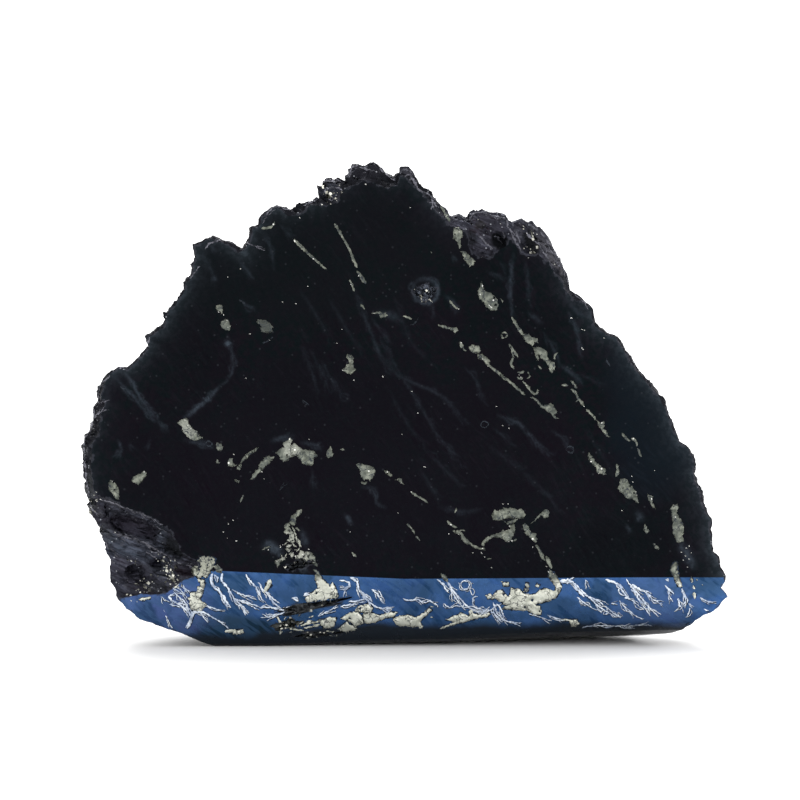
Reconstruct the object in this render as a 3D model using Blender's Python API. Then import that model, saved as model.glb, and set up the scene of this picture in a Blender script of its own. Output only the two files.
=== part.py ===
"""A standing block of covellite: one natural stone, sawn flat underneath and polished on its front.

The polished front is a flat face above a shallow bevel that rolls under to the base. Round it the stone
keeps its broken rim: nodules along the crest, a foliated chip at the lower left, ledges on the back.
Units are metres, +Z is up, and the polished face lies in the plane y = 0 and looks along -Y.
"""

import math
import random

import bmesh
import bpy
import numpy as np
from mathutils import Matrix, Vector, noise
from mathutils.geometry import delaunay_2d_cdt

MM = 0.001

# Driving dimensions of the stone
WIDTH = 110 * MM
BAND_DEPTH = 2.2 * MM

# Fracture planes of the natural back: y in the middle of the base, and the slopes along x and z
BACK_PLANES = [
    (34.5 * MM, 0.06, -0.08),
    (40 * MM, -0.30, -0.26),
    (39 * MM, 0.34, -0.12),
    (41 * MM, -0.40, -0.26),
    (48 * MM, 0.05, -0.42),
    (28 * MM, 0.15, 0.45),
]

# The photograph's frame, in which the outlines below are read
VIEW_ELEVATION = math.radians(7)
LEFT_PIXEL, RIGHT_PIXEL = 82, 729
MIDDLE_PIXEL, FLOOR_PIXEL = 405.5, 650
PIXEL = WIDTH / (RIGHT_PIXEL - LEFT_PIXEL)

# The stone's outline from the front, in photograph pixels, clockwise from the lower left corner
OUTLINE = [
    (116, 599), (109, 585), (109, 563), (103, 549), (100, 538), (95, 525), (89, 514), (87, 500),
    (84, 482), (82, 462), (82, 446), (84, 438), (90, 432), (93, 422), (93, 408), (98, 404),
    (96, 393), (100, 383), (108, 373), (118, 367), (127, 368), (138, 358), (148, 347), (145, 336),
    (155, 331), (165, 320), (164, 314), (172, 307), (176, 300), (184, 290), (184, 283), (190, 277),
    (193, 269), (191, 265), (195, 257), (193, 245), (203, 241), (213, 236), (220, 241), (232, 244),
    (240, 251), (249, 243), (252, 227), (258, 226), (260, 218), (269, 209), (277, 206), (284, 209),
    (293, 209), (302, 203), (319, 199), (318, 189), (325, 181), (338, 180), (345, 182), (349, 171),
    (356, 165), (364, 167), (372, 163), (379, 166), (386, 176), (394, 180), (399, 174), (400, 168),
    (407, 168), (415, 176), (422, 187), (431, 192), (436, 204), (445, 210), (451, 218), (459, 216),
    (466, 222), (470, 214), (482, 210), (490, 214), (505, 216), (510, 224), (521, 221), (525, 224),
    (531, 222), (541, 231), (549, 241), (560, 262), (568, 279), (570, 291), (583, 299), (592, 307),
    (595, 322), (607, 333), (618, 337), (625, 349), (632, 362), (647, 380), (658, 392), (668, 410),
    (674, 426), (680, 441), (690, 448), (697, 464), (695, 474), (702, 488), (704, 501), (713, 520),
    (714, 552), (720, 557), (727, 577), (724, 589), (731, 599), (722, 611), (707, 617), (697, 627),
    (690, 636), (678, 650), (650, 664), (560, 676), (400, 684), (270, 680), (224, 660), (188, 642),
    (158, 630), (137, 623), (124, 611),
]

# Hollows in the front, where the natural surface lies behind the polished plane, in photograph pixels
CHIP = [
    (70, 494), (108, 499), (136, 511), (168, 529), (178, 549), (197, 563), (198, 577), (184, 582),
    (177, 589), (173, 597), (150, 600), (128, 604), (100, 608), (70, 560),
]
CREST_LEFT = [
    (290, 217), (312, 209), (322, 206), (338, 203), (346, 190), (362, 182), (376, 184), (388, 190),
    (399, 186), (398, 150), (290, 150),
]
CREST_MIDDLE = [
    (398, 150), (398, 178), (410, 181), (420, 192), (428, 203), (438, 212), (447, 224), (452, 232),
    (462, 205), (440, 170),
]
CREST_RIGHT = [
    (452, 190), (452, 222), (466, 234), (468, 246), (478, 258), (490, 258), (504, 246), (508, 236),
    (516, 246), (524, 258), (534, 256), (532, 240), (520, 230), (511, 226), (511, 190),
]
SHOULDER = [
    (511, 190), (514, 226), (528, 238), (534, 252), (548, 262), (560, 282), (573, 298), (600, 250), (560, 190),
]
HOLLOWS = [CHIP, CREST_LEFT, CREST_MIDDLE, CREST_RIGHT, SHOULDER]
HOLLOW_SLOPE = 0.85
HOLLOW_DEPTH = 3.6 * MM

# Scoops where flakes broke out of the hollows' floors: outline in photograph pixels, and depth
SCOOPS = [
    ([(104, 507), (128, 513), (150, 521), (159, 531), (154, 543), (136, 540), (117, 535), (106, 522)], 1.5 * MM),
    ([(146, 559), (160, 563), (166, 573), (156, 575), (147, 569)], 0.7 * MM),
    ([(118, 566), (136, 570), (150, 580), (160, 589), (140, 588), (124, 578)], 0.7 * MM),
    ([(495, 234), (505, 236), (508, 248), (498, 250)], 1.0 * MM),
    ([(522, 229), (532, 238), (540, 250), (533, 253), (524, 242)], 1.2 * MM),
]
SCOOP_EDGE = 0.9 * MM

# Rounded nodules in those hollows: photograph pixel, radius and how far the top lies behind the plane
NODULES = [
    ((330, 192), 2.2 * MM, 0.5 * MM),
    ((354, 178), 2.3 * MM, 0.5 * MM),
    ((374, 174), 2.1 * MM, 0.4 * MM),
    ((408, 178), 1.9 * MM, 0.5 * MM),
    ((426, 200), 1.8 * MM, 0.4 * MM),
    ((446, 220), 1.6 * MM, 0.4 * MM),
    ((480, 222), 2.4 * MM, 0.4 * MM),
    ((498, 228), 2.0 * MM, 0.6 * MM),
    ((484, 244), 2.0 * MM, 0.3 * MM),
    ((521, 232), 2.1 * MM, 0.6 * MM),
    ((542, 248), 2.6 * MM, 0.5 * MM),
    ((558, 272), 2.3 * MM, 0.4 * MM),
]

# The bevel below the flat face: where its upper edge runs, and where its underside meets the base
BAND_EDGE = [(60, 571), (240, 571), (330, 576), (470, 580), (600, 578), (760, 577)]
BASE_FRONT = [(60, 3.5 * MM), (260, 3.5 * MM), (450, 8 * MM), (660, 19 * MM), (760, 22 * MM)]
BAND_HEEL = [(60, 0.6 * MM), (260, 0.6 * MM), (450, 0.8 * MM), (660, 1.5 * MM), (760, 1.7 * MM)]

# Pits in the front: photograph pixel, half sizes along, into and across, and the tilt of the long way
PITS = {
    "upper_crevice": ((306, 609), (6.8 * MM, 1.9 * MM, 0.9 * MM), 12),
    "crevice_pocket": ((287, 627), (2.8 * MM, 2.1 * MM, 1.2 * MM), 8),
    "lower_crevice": ((318, 638), (6.5 * MM, 2.4 * MM, 0.75 * MM), 5),
    "crystal_pocket": ((425, 293), (1.8 * MM, 0.8 * MM, 1.6 * MM), 0),
    "small_pocket": ((299, 566), (2.6 * MM, 1.2 * MM, 0.9 * MM), 12),
}

RING_PITCH = 1.65 * MM
FRONT_PITCH = 1.35 * MM
BACK_PITCH = 2.5 * MM
PROUD_OF_PLANE = 1.6 * MM
RIM_SLOPE = 0.9
RIM_WIDTH = 0.35 * MM
LEFT_RIM_WIDTH = 1.5 * MM
JAG = 0.5 * MM
POLISH_EDGE_WAVER = 0.7 * MM
TAPER = 0.13
WALL_SMOOTHING = 4
WALL_STEPS = [0.0, 0.07, 0.18, 0.32, 0.48, 0.66, 0.84, 1.0]
LAYER_TILT = math.radians(-58)
SEED = 11


def place(pixel):
    """The stone's (x, z) for a pixel of the photograph, on the polished plane."""
    up = PIXEL / math.cos(VIEW_ELEVATION)
    return (pixel[0] - MIDDLE_PIXEL) * PIXEL, (FLOOR_PIXEL - pixel[1]) * up


def across(x, table):
    """A value that runs evenly between (photograph column, value) pairs, at the stone's x."""
    columns, values = zip(*table)
    return float(np.interp(x / PIXEL + MIDDLE_PIXEL, columns, values))


def waver(point, size, seed=0):
    """Smooth noise from about -1 to 1, with features of the given size."""
    return noise.noise(Vector(point) / size + Vector((seed * 7.31, seed * 3.17, seed * 5.93)))


def layers(x, z, pitch, tilt=LAYER_TILT):
    """0 to 1 across each foliation layer, with a quick drop at its edge, like overlapping shingles."""
    across_layers = (-x * math.sin(tilt) + z * math.cos(tilt)) / pitch
    across_layers += 0.35 * waver((x, 0, z), 3 * pitch, 4)
    share = across_layers % 1.0
    return share / 0.82 if share < 0.82 else (1 - share) / 0.18


def edge_distance(point, polygon):
    """Distance from a point to a polygon's edge, positive inside it."""
    corners = np.array(polygon)
    ends = np.roll(corners, -1, axis=0)
    span = ends - corners
    to_point = np.array(point) - corners
    along = np.clip((to_point * span).sum(1) / np.maximum((span**2).sum(1), 1e-18), 0, 1)
    nearest = np.hypot(*(to_point - along[:, None] * span).T).min()
    above, above_end = corners[:, 1] > point[1], ends[:, 1] > point[1]
    crossing = above != above_end
    at = corners[crossing, 0] + (point[1] - corners[crossing, 1]) * span[crossing, 0] / span[crossing, 1]
    return nearest if (at > point[0]).sum() % 2 else -nearest


def jagged_outline():
    """The outline in metres, in steps of about RING_PITCH, with small jags added between its corners."""
    corners = [place(pixel) for pixel in OUTLINE]
    points = []
    for start, end in zip(corners, corners[1:] + corners[:1]):
        length = math.dist(start, end)
        steps = max(1, round(length / RING_PITCH))
        normal = ((start[1] - end[1]) / length, (end[0] - start[0]) / length)
        for step in range(steps):
            share = step / steps
            x = start[0] + (end[0] - start[0]) * share
            z = start[1] + (end[1] - start[1]) * share
            push = JAG * waver((x, 0, z), 1.3 * MM, 2) if step else 0
            points.append((x + normal[0] * push, z + normal[1] * push))
    return points


class Stone:
    """The unpolished stone: a jagged outline, a relief in front, walls and a ledged back."""

    def __init__(self):
        self.outline = jagged_outline()
        self.centre = np.array((0.0, 33 * MM))
        turns = [np.roll(self.outline, step, axis=0) for step in range(-WALL_SMOOTHING, WALL_SMOOTHING + 1)]
        self.smooth_outline = np.mean(turns, axis=0)
        spokes = np.array(self.outline) - self.centre
        angles, radii = np.arctan2(spokes[:, 1], spokes[:, 0]), np.hypot(*spokes.T)
        order = np.argsort(angles)
        self.angles, self.radii = angles[order], radii[order]
        self.hollows = [[place(pixel) for pixel in polygon] for polygon in HOLLOWS]
        self.scoops = [([place(pixel) for pixel in polygon], depth) for polygon, depth in SCOOPS]
        self.nodules = [(place(pixel), radius, depth) for pixel, radius, depth in NODULES]

    def reach(self, x, z):
        """How far out (x, z) lies from the centre, as a share of the outline there."""
        spoke = np.array((x, z)) - self.centre
        radius = np.interp(math.atan2(spoke[1], spoke[0]), self.angles, self.radii, period=2 * math.pi)
        return math.hypot(*spoke) / radius

    def front(self, x, z):
        """The natural front's y. It is negative where polishing took the stone away."""
        rim_width = LEFT_RIM_WIDTH if x < place((104, 0))[0] else RIM_WIDTH
        inside = max(0.0, edge_distance((x, z), self.outline))
        y = RIM_SLOPE * (rim_width - inside)
        uneven = POLISH_EDGE_WAVER * waver((x, 0, z), 2.4 * MM, 1)
        for polygon in self.hollows:
            y = max(y, HOLLOW_SLOPE * (edge_distance((x, z), polygon) + uneven))
        y = min(y, HOLLOW_DEPTH)
        if y > 0:
            for polygon, depth in self.scoops:
                y += depth * min(1.0, max(0.0, edge_distance((x, z), polygon)) / SCOOP_EDGE)
            y += 0.8 * MM * (layers(x, z, 3.1 * MM, math.radians(-27)) - 0.5) * min(1, y / (1.2 * MM))
            y += 0.35 * MM * waver((x, 0, z), 1.8 * MM, 5) * min(1, y / (0.6 * MM))
        for (nx, nz), radius, depth in self.nodules:
            away = math.hypot(x - nx, z - nz)
            if away < radius:
                y = min(y, depth + radius - math.sqrt(radius**2 - away**2))
        return max(y, -PROUD_OF_PLANE)

    def back(self, x, z):
        """The natural back's y: fracture planes stepped by foliation ledges, drawn in towards its edge."""
        y = min(middle + along * x + up * z for middle, along, up in BACK_PLANES)
        reach = min(1.0, self.reach(x, z) / (1 - TAPER))
        y *= 1 - 0.36 * reach**3.5
        strength = 0.5 + 0.5 * waver((x, 0, z), 16 * MM, 3)
        y += 3.2 * MM * strength * (layers(x, z, 12 * MM) - 0.5)
        y += 1.0 * MM * (1 - strength) * (layers(x, z, 4.3 * MM, math.radians(-49)) - 0.5)
        return y + 1.3 * MM * waver((x, 0, z), 8 * MM, 6) + 0.5 * MM * waver((x, 0, z), 3 * MM, 7)

    def wall(self, i, share):
        """A point of the wall: share 0 is on the front outline and 1 on the back's edge."""
        x, z = self.outline[i]
        smooth = self.smooth_outline[i]
        along = np.array((x, z)) * (1 - share**0.8) + smooth * share**0.8 - self.centre
        shrink = TAPER * share**1.5
        y_front = self.front(x, z)
        back_x, back_z = self.centre + (smooth - self.centre) * (1 - TAPER)
        y = y_front + (self.back(back_x, back_z) - y_front) * share
        rough = 0.045 * waver((x, y, z), 8 * MM, 8) + 0.016 * waver((x, y, z), 2.8 * MM, 9)
        ledge = 0.022 * (layers(x, z + 0.8 * y, 6.3 * MM) - 0.5)
        fade = math.sin(math.pi * share)
        px, pz = self.centre + along * (1 - shrink + min(0.004, (rough + ledge) * fade))
        return px, y, pz


def sheet(boundary, inner, depth):
    """Triangles over a boundary polygon and inner points, each raised to the y that depth gives it."""
    points = [Vector(p) for p in boundary + inner]
    made, _, faces, *_ = delaunay_2d_cdt(points, [], [list(range(len(boundary)))], 1, 1e-7)
    return [(p.x, depth(p.x, p.y), p.y) for p in made], faces


def scatter(stone, polygon, pitch, wanted):
    """Points on a jittered triangular grid inside a polygon, where wanted(x, z) holds."""
    shuffle = random.Random(SEED)
    low, high = np.min(polygon, axis=0), np.max(polygon, axis=0)
    points = []
    for row in range(int((high[1] - low[1]) / (pitch * 0.87)) + 1):
        for column in range(int((high[0] - low[0]) / pitch) + 1):
            x = low[0] + (column + 0.5 * (row % 2) + shuffle.uniform(-0.22, 0.22)) * pitch
            z = low[1] + (row * 0.87 + shuffle.uniform(-0.2, 0.2)) * pitch
            if edge_distance((x, z), polygon) > 0.45 * pitch and wanted(x, z):
                points.append((x, z))
    return points


def rough_mesh(stone):
    """The whole unpolished stone as one closed mesh."""
    bm = bmesh.new()

    def add(points, faces):
        verts = [bm.verts.new(p) for p in points]
        for face in faces:
            bm.faces.new([verts[i] for i in face])

    near_hollow = lambda x, z: stone.front(x, z) > -PROUD_OF_PLANE + 0.01 * MM
    inner = scatter(stone, stone.outline, FRONT_PITCH, near_hollow)
    add(*sheet(stone.outline, inner, stone.front))

    count = len(stone.outline)
    rings = [[stone.wall(i, share) for i in range(count)] for share in WALL_STEPS]
    quads = []
    for ring in range(len(rings) - 1):
        for i in range(count):
            a, b = ring * count + i, ring * count + (i + 1) % count
            quads.append((a, b, b + count, a + count))
    add([point for ring in rings for point in ring], quads)

    back_edge = [(x, z) for x, _, z in rings[-1]]
    inner = scatter(stone, back_edge, BACK_PITCH, lambda x, z: True)
    edge_depth = {(round(x, 6), round(z, 6)): y for x, y, z in rings[-1]}
    add(*sheet(back_edge, inner, lambda x, z: edge_depth.get((round(x, 6), round(z, 6)), stone.back(x, z))))

    bmesh.ops.remove_doubles(bm, verts=bm.verts, dist=2e-6)
    bmesh.ops.recalc_face_normals(bm, faces=bm.faces)
    return finished(bm, "rough")


def finished(bm, name):
    """Turns a bmesh into a mesh."""
    mesh = bpy.data.meshes.new(name)
    bm.to_mesh(mesh)
    bm.free()
    return mesh


def polish_profile(x):
    """The (y, z) section that saw and polish leave at one x, from the top of the flat face to the base."""
    band_top = (FLOOR_PIXEL - across(x, BAND_EDGE)) * PIXEL / math.cos(VIEW_ELEVATION)
    heel = Vector((BAND_DEPTH, across(x, BAND_HEEL)))
    start, end = Vector((0.0, band_top)), Vector((across(x, BASE_FRONT), 0.0))
    shares = [step / 8 for step in range(9)]
    curve = [start * (1 - t) ** 3 + heel * 3 * t * (1 - t) + end * t**3 for t in shares]
    return [(0.0, 2 * WIDTH)] + [tuple(p) for p in curve] + [(WIDTH, 0.0), (WIDTH, 2 * WIDTH)]


def polish_envelope():
    """A closed form that holds everything behind the polished and sawn surfaces."""
    bm = bmesh.new()
    sections = []
    count = 18
    for step in range(count + 1):
        x = (step / count - 0.5) * 1.3 * WIDTH
        sections.append([bm.verts.new((x, y, z)) for y, z in polish_profile(x)])
    for one, other in zip(sections, sections[1:]):
        for i, vert in enumerate(one):
            after = (i + 1) % len(one)
            bm.faces.new((vert, one[after], other[after], other[i]))
    bm.faces.new(sections[0][::-1])
    bm.faces.new(sections[-1])
    bmesh.ops.triangulate(bm, faces=bm.faces)
    bmesh.ops.recalc_face_normals(bm, faces=bm.faces)
    return cutter("polish_envelope", finished(bm, "polish_envelope"))


def pit(name, pixel, halves, tilt):
    """A rough lens-shaped hollow in the front."""
    bm = bmesh.new()
    bmesh.ops.create_icosphere(bm, subdivisions=4, radius=1)
    x, z = place(pixel)
    for vert in bm.verts:
        vert.co *= 1 + 0.5 * waver(vert.co, 0.5, len(name)) + 0.2 * waver(vert.co, 0.22, len(name) + 1)
    turn = Matrix.Rotation(math.radians(-tilt), 4, "Y")
    bm.transform(Matrix.Translation((x, 0.4 * MM, z)) @ turn @ Matrix.Diagonal((*halves, 1)))
    return cutter(name, finished(bm, name))


def cutter(name, mesh):
    """A helper object, left out of the model, that a Boolean reads."""
    helper = bpy.data.objects.new(name, mesh)
    bpy.context.scene.collection.objects.link(helper)
    helper.hide_render = True
    helper.display_type = "WIRE"
    return helper


def boolean(target, operation, helper):
    modifier = target.modifiers.new(helper.name, "BOOLEAN")
    modifier.operation = operation
    modifier.solver = "EXACT"
    modifier.object = helper


def covellite_material():
    """Indigo-black sulphide with a dull metallic lustre."""
    material = bpy.data.materials.new("covellite")
    material.use_nodes = True
    shader = material.node_tree.nodes["Principled BSDF"]
    shader.inputs["Base Color"].default_value = (0.02, 0.03, 0.07, 1)
    shader.inputs["Metallic"].default_value = 0.5
    shader.inputs["Roughness"].default_value = 0.35
    return material


def stand_on_origin(stone):
    """Moves the stone and its cutters so that its box stands centred on the origin."""
    bpy.context.view_layer.update()
    finished_stone = stone.evaluated_get(bpy.context.evaluated_depsgraph_get())
    corners = np.array([vert.co for vert in finished_stone.data.vertices])
    middle = (corners.min(axis=0) + corners.max(axis=0)) / 2
    for obj in bpy.data.objects:
        obj.location -= Vector((middle[0], middle[1], corners[:, 2].min()))


def main():
    for obj in list(bpy.data.objects):
        bpy.data.objects.remove(obj)
    covellite = bpy.data.objects.new("covellite", rough_mesh(Stone()))
    bpy.context.scene.collection.objects.link(covellite)
    covellite.data.materials.append(covellite_material())
    boolean(covellite, "INTERSECT", polish_envelope())
    for name, (pixel, halves, tilt) in PITS.items():
        boolean(covellite, "DIFFERENCE", pit(name, pixel, halves, tilt))
    stand_on_origin(covellite)


main()
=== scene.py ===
import math
import random

import bmesh
import bpy
import numpy as np
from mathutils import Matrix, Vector, geometry, kdtree, noise
from mathutils.bvhtree import BVHTree


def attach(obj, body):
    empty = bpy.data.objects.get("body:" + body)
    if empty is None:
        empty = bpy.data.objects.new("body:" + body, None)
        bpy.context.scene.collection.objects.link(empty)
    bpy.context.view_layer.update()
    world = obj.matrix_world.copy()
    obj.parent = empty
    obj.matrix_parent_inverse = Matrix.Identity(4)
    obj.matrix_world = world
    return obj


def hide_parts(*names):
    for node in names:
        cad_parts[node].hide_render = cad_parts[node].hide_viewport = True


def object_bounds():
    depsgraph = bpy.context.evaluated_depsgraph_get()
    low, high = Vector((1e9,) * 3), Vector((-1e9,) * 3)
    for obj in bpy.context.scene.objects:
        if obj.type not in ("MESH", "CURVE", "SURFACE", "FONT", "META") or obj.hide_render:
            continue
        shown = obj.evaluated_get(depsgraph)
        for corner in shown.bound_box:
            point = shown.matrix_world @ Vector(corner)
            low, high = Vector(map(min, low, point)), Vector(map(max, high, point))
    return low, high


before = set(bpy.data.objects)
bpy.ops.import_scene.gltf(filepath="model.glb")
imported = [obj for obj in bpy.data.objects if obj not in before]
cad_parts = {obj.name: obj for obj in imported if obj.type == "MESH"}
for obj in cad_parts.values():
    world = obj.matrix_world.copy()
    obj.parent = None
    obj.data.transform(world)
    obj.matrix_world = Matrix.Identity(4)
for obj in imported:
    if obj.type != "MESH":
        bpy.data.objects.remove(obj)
cad_low, cad_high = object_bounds()

MM = 0.001
NODE = "covellite"
FRONT = cad_low.y

# The photograph's frame: its scale, the camera's height above the horizon and the pixel of the origin
PIXEL = 0.110 / 647
VIEW_ELEVATION = math.radians(7)
COLUMN_OF_MIDDLE, ROW_OF_FLOOR = 405.5, 650
PHOTO_SIZE = 800

# The section that polishing left, as in the part: where the bevel starts, its heel and its toe
BAND_EDGE = [(60, 571), (240, 571), (330, 576), (470, 580), (600, 578), (760, 577)]
BAND_HEEL = [(60, 0.6 * MM), (260, 0.6 * MM), (450, 0.8 * MM), (660, 1.5 * MM), (760, 1.7 * MM)]
BASE_FRONT = [(60, 3.5 * MM), (260, 3.5 * MM), (450, 8 * MM), (660, 19 * MM), (760, 22 * MM)]
BAND_DEPTH = 2.2 * MM


def place(column, row):
    """The stone's (x, z) for a pixel of the photograph, on the polished plane."""
    return (column - COLUMN_OF_MIDDLE) * PIXEL, (ROW_OF_FLOOR - row) * PIXEL / math.cos(VIEW_ELEVATION)


def across(x, table):
    """A value that runs evenly between (photograph column, value) pairs, at the stone's x."""
    columns, values = zip(*table)
    return float(np.interp(x / PIXEL + COLUMN_OF_MIDDLE, columns, values))


# Nodes


class Graph:
    """A node tree written as calls. A value is a constant, or an output socket that gets linked."""

    def __init__(self, tree):
        self.tree = tree

    def node(self, kind, values=(), **settings):
        made = self.tree.nodes.new(kind)
        for key, value in settings.items():
            setattr(made, key, value)
        for key, value in dict(values).items():
            self.feed(made.inputs[key], value)
        return made

    def feed(self, socket, value):
        if isinstance(value, bpy.types.NodeSocket):
            self.tree.links.new(value, socket)
        else:
            socket.default_value = value

    def math(self, operation, *values, clamp=False):
        made = self.node("ShaderNodeMath", enumerate(values), operation=operation, use_clamp=clamp)
        return made.outputs[0]

    def vector(self, operation, *values):
        made = self.node("ShaderNodeVectorMath", operation=operation)
        for socket, value in zip([s for s in made.inputs if s.enabled], values):
            self.feed(socket, value)
        return made.outputs["Value" if operation in ("LENGTH", "DOT_PRODUCT", "DISTANCE") else "Vector"]

    def step(self, value, low, high, to_low=0.0, to_high=1.0):
        """value from low to high, made to run smoothly from to_low to to_high and clamped."""
        values = {"Value": value, "From Min": low, "From Max": high, "To Min": to_low, "To Max": to_high}
        return self.node("ShaderNodeMapRange", values, interpolation_type="SMOOTHSTEP").outputs["Result"]

    def noise(self, vector, scale, detail=2.0, rough=0.5, distortion=0.0):
        values = {"Vector": vector, "Scale": scale, "Detail": detail, "Roughness": rough, "Distortion": distortion}
        return self.node("ShaderNodeTexNoise", values)

    def mix(self, share, one, other):
        """A colour that goes from one to other as share goes from 0 to 1."""
        made = self.node("ShaderNodeMix", data_type="RGBA")
        for socket, value in ((made.inputs[0], share), (made.inputs[6], one), (made.inputs[7], other)):
            self.feed(socket, value)
        return made.outputs[2]

    def group(self, tree, **values):
        kind = "ShaderNodeGroup" if tree.bl_idname == "ShaderNodeTree" else "GeometryNodeGroup"
        made = self.tree.nodes.new(kind)
        made.node_tree = tree
        for key, value in values.items():
            self.feed(made.inputs[key.replace("_", " ")], value)
        return made


def new_group(name, kind, inputs, outputs):
    """An empty node group with named inputs and outputs. Inputs are name: (socket type, default)."""
    tree = bpy.data.node_groups.new(name, kind)
    for socket_name, (socket_type, default) in inputs.items():
        socket = tree.interface.new_socket(socket_name, in_out="INPUT", socket_type=socket_type)
        if default is not None:
            socket.default_value = default
    for socket_name, socket_type in outputs.items():
        tree.interface.new_socket(socket_name, in_out="OUTPUT", socket_type=socket_type)
    graph = Graph(tree)
    source, sink = graph.node("NodeGroupInput"), graph.node("NodeGroupOutput")
    return tree, graph, source.outputs, sink.inputs


FLOAT, VECTOR = "NodeSocketFloat", "NodeSocketVector"


def foliation_streaks():
    """Thin streaks that lie along the stone's foliation."""
    inputs = {
        "Vector": (VECTOR, None), "Tilt": (FLOAT, 1.0), "Pitch": (FLOAT, 1.5 * MM),
        "Stretch": (FLOAT, 12.0), "Cover": (FLOAT, 0.3), "Softness": (FLOAT, 0.12),
    }
    tree, g, given, out = new_group("foliation_streaks", "ShaderNodeTree", inputs, {"Mask": FLOAT})
    turned = g.node(
        "ShaderNodeVectorRotate", {"Vector": given["Vector"], "Angle": given["Tilt"]}, rotation_type="Y_AXIS"
    ).outputs[0]
    parts = g.node("ShaderNodeSeparateXYZ", {0: turned}).outputs
    bend = g.noise(turned, 60.0, 2.0).outputs[0]
    across_streak = g.math("ADD", parts[2], g.math("MULTIPLY", g.math("SUBTRACT", bend, 0.5), 5 * MM))
    shrunk = g.node("ShaderNodeCombineXYZ", {
        0: g.math("DIVIDE", parts[0], given["Stretch"]), 1: g.math("MULTIPLY", parts[1], 0.4), 2: across_streak,
    }).outputs[0]
    sizes = g.math("DIVIDE", 1.0, given["Pitch"])
    streak = g.noise(shrunk, sizes, 3.0, 0.6).outputs[0]
    gate = g.noise(given["Vector"], 70.0, 2.0).outputs[0]
    ridge = g.math("ABSOLUTE", g.math("SUBTRACT", streak, 0.5))
    width = g.math("MULTIPLY", given["Cover"], g.step(gate, 0.38, 0.62, 0.03, 0.16))
    g.feed(out["Mask"], g.step(ridge, width, g.math("ADD", width, g.math("MULTIPLY", given["Softness"], 0.2)), 1.0, 0.0))
    return tree


def tint_patch():
    """A soft oval region of the front that may lean, its edge as uneven as the value given."""
    inputs = {
        "Vector": (VECTOR, None), "Uneven": (FLOAT, 0.0), "Centre X": (FLOAT, 0.0), "Centre Z": (FLOAT, 0.0),
        "Half Width": (FLOAT, 0.02), "Half Height": (FLOAT, 0.02), "Lean": (FLOAT, 0.0),
        "Front": (FLOAT, FRONT), "Reach": (FLOAT, 9 * MM),
    }
    tree, g, given, out = new_group("tint_patch", "ShaderNodeTree", inputs, {"Mask": FLOAT})
    centre = g.node("ShaderNodeCombineXYZ", {0: given["Centre X"], 2: given["Centre Z"]}).outputs[0]
    offset = g.vector("SUBTRACT", given["Vector"], centre)
    turned = g.node("ShaderNodeVectorRotate", {"Vector": offset, "Angle": given["Lean"]}, rotation_type="Y_AXIS")
    parts = g.node("ShaderNodeSeparateXYZ", {0: turned.outputs[0]}).outputs
    wide = g.math("POWER", g.math("DIVIDE", parts[0], given["Half Width"]), 2.0)
    high = g.math("POWER", g.math("DIVIDE", parts[2], given["Half Height"]), 2.0)
    far = g.math("ADD", g.math("ADD", wide, high), given["Uneven"])
    depth = g.math("DIVIDE", g.math("SUBTRACT", parts[1], given["Front"]), given["Reach"])
    near = g.step(depth, 0.7, 1.0, 1.0, 0.0)
    g.feed(out["Mask"], g.math("MULTIPLY", near, g.step(far, 0.35, 1.25, 1.0, 0.0)))
    return tree


def blue_band():
    """The band of painted reflection along the bottom: 1 below a line that runs through three heights, 0 again at its
    foot, where painted shade darkens it.
    """
    inputs = {
        "Vector": (VECTOR, None), "Left Height": (FLOAT, 0.0), "Middle Height": (FLOAT, 0.0),
        "Right Height": (FLOAT, 0.0), "Softness": (FLOAT, 0.15 * MM), "Foot Height": (FLOAT, 1.0 * MM),
        "Foot Fade": (FLOAT, 1.9 * MM), "Foot Rise": (FLOAT, 2.1 * MM),
    }
    tree, g, given, out = new_group("blue_band", "ShaderNodeTree", inputs, {"Mask": FLOAT, "Above Foot": FLOAT})
    parts = g.node("ShaderNodeSeparateXYZ", {0: given["Vector"]}).outputs
    height = given["Middle Height"]
    for name, far in (("Left Height", -32 * MM), ("Right Height", 40 * MM)):
        share = g.math("DIVIDE", parts[0], far, clamp=True)
        height = g.math("ADD", height, g.math("MULTIPLY", share, g.math("SUBTRACT", given[name], given["Middle Height"])))
    g.feed(out["Mask"], g.step(g.math("SUBTRACT", height, parts[2]), 0.0, given["Softness"]))
    # Above Foot fades to 0 towards the foot, where painted shade darkens the band
    to_right = g.step(parts[0], -30 * MM, -8 * MM)
    foot = g.math("ADD", given["Foot Height"], g.math("MULTIPLY", to_right, given["Foot Rise"]))
    uneven = g.math("MULTIPLY", g.math("SUBTRACT", g.noise(given["Vector"], 140.0, 3.0).outputs[0], 0.5), 3 * MM)
    above = g.math("ADD", parts[2], uneven)
    g.feed(out["Above Foot"], g.step(above, foot, g.math("ADD", foot, given["Foot Fade"])))
    return tree


def speckle():
    """Small scattered spots of uneven size."""
    inputs = {"Vector": (VECTOR, None), "Size": (FLOAT, 0.4 * MM), "Share": (FLOAT, 0.1)}
    tree, g, given, out = new_group("speckle", "ShaderNodeTree", inputs, {"Mask": FLOAT, "Tone": FLOAT})
    cells = g.node("ShaderNodeTexVoronoi", {"Vector": given["Vector"], "Scale": g.math("DIVIDE", 1.0, given["Size"])})
    tone = g.node("ShaderNodeSeparateColor", {0: cells.outputs["Color"]}).outputs
    chosen = g.math("LESS_THAN", tone[0], given["Share"])
    round_spot = g.step(cells.outputs["Distance"], 0.2, 0.45, 1.0, 0.0)
    g.feed(out["Mask"], g.math("MULTIPLY", chosen, round_spot))
    g.feed(out["Tone"], tone[1])
    return tree


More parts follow.
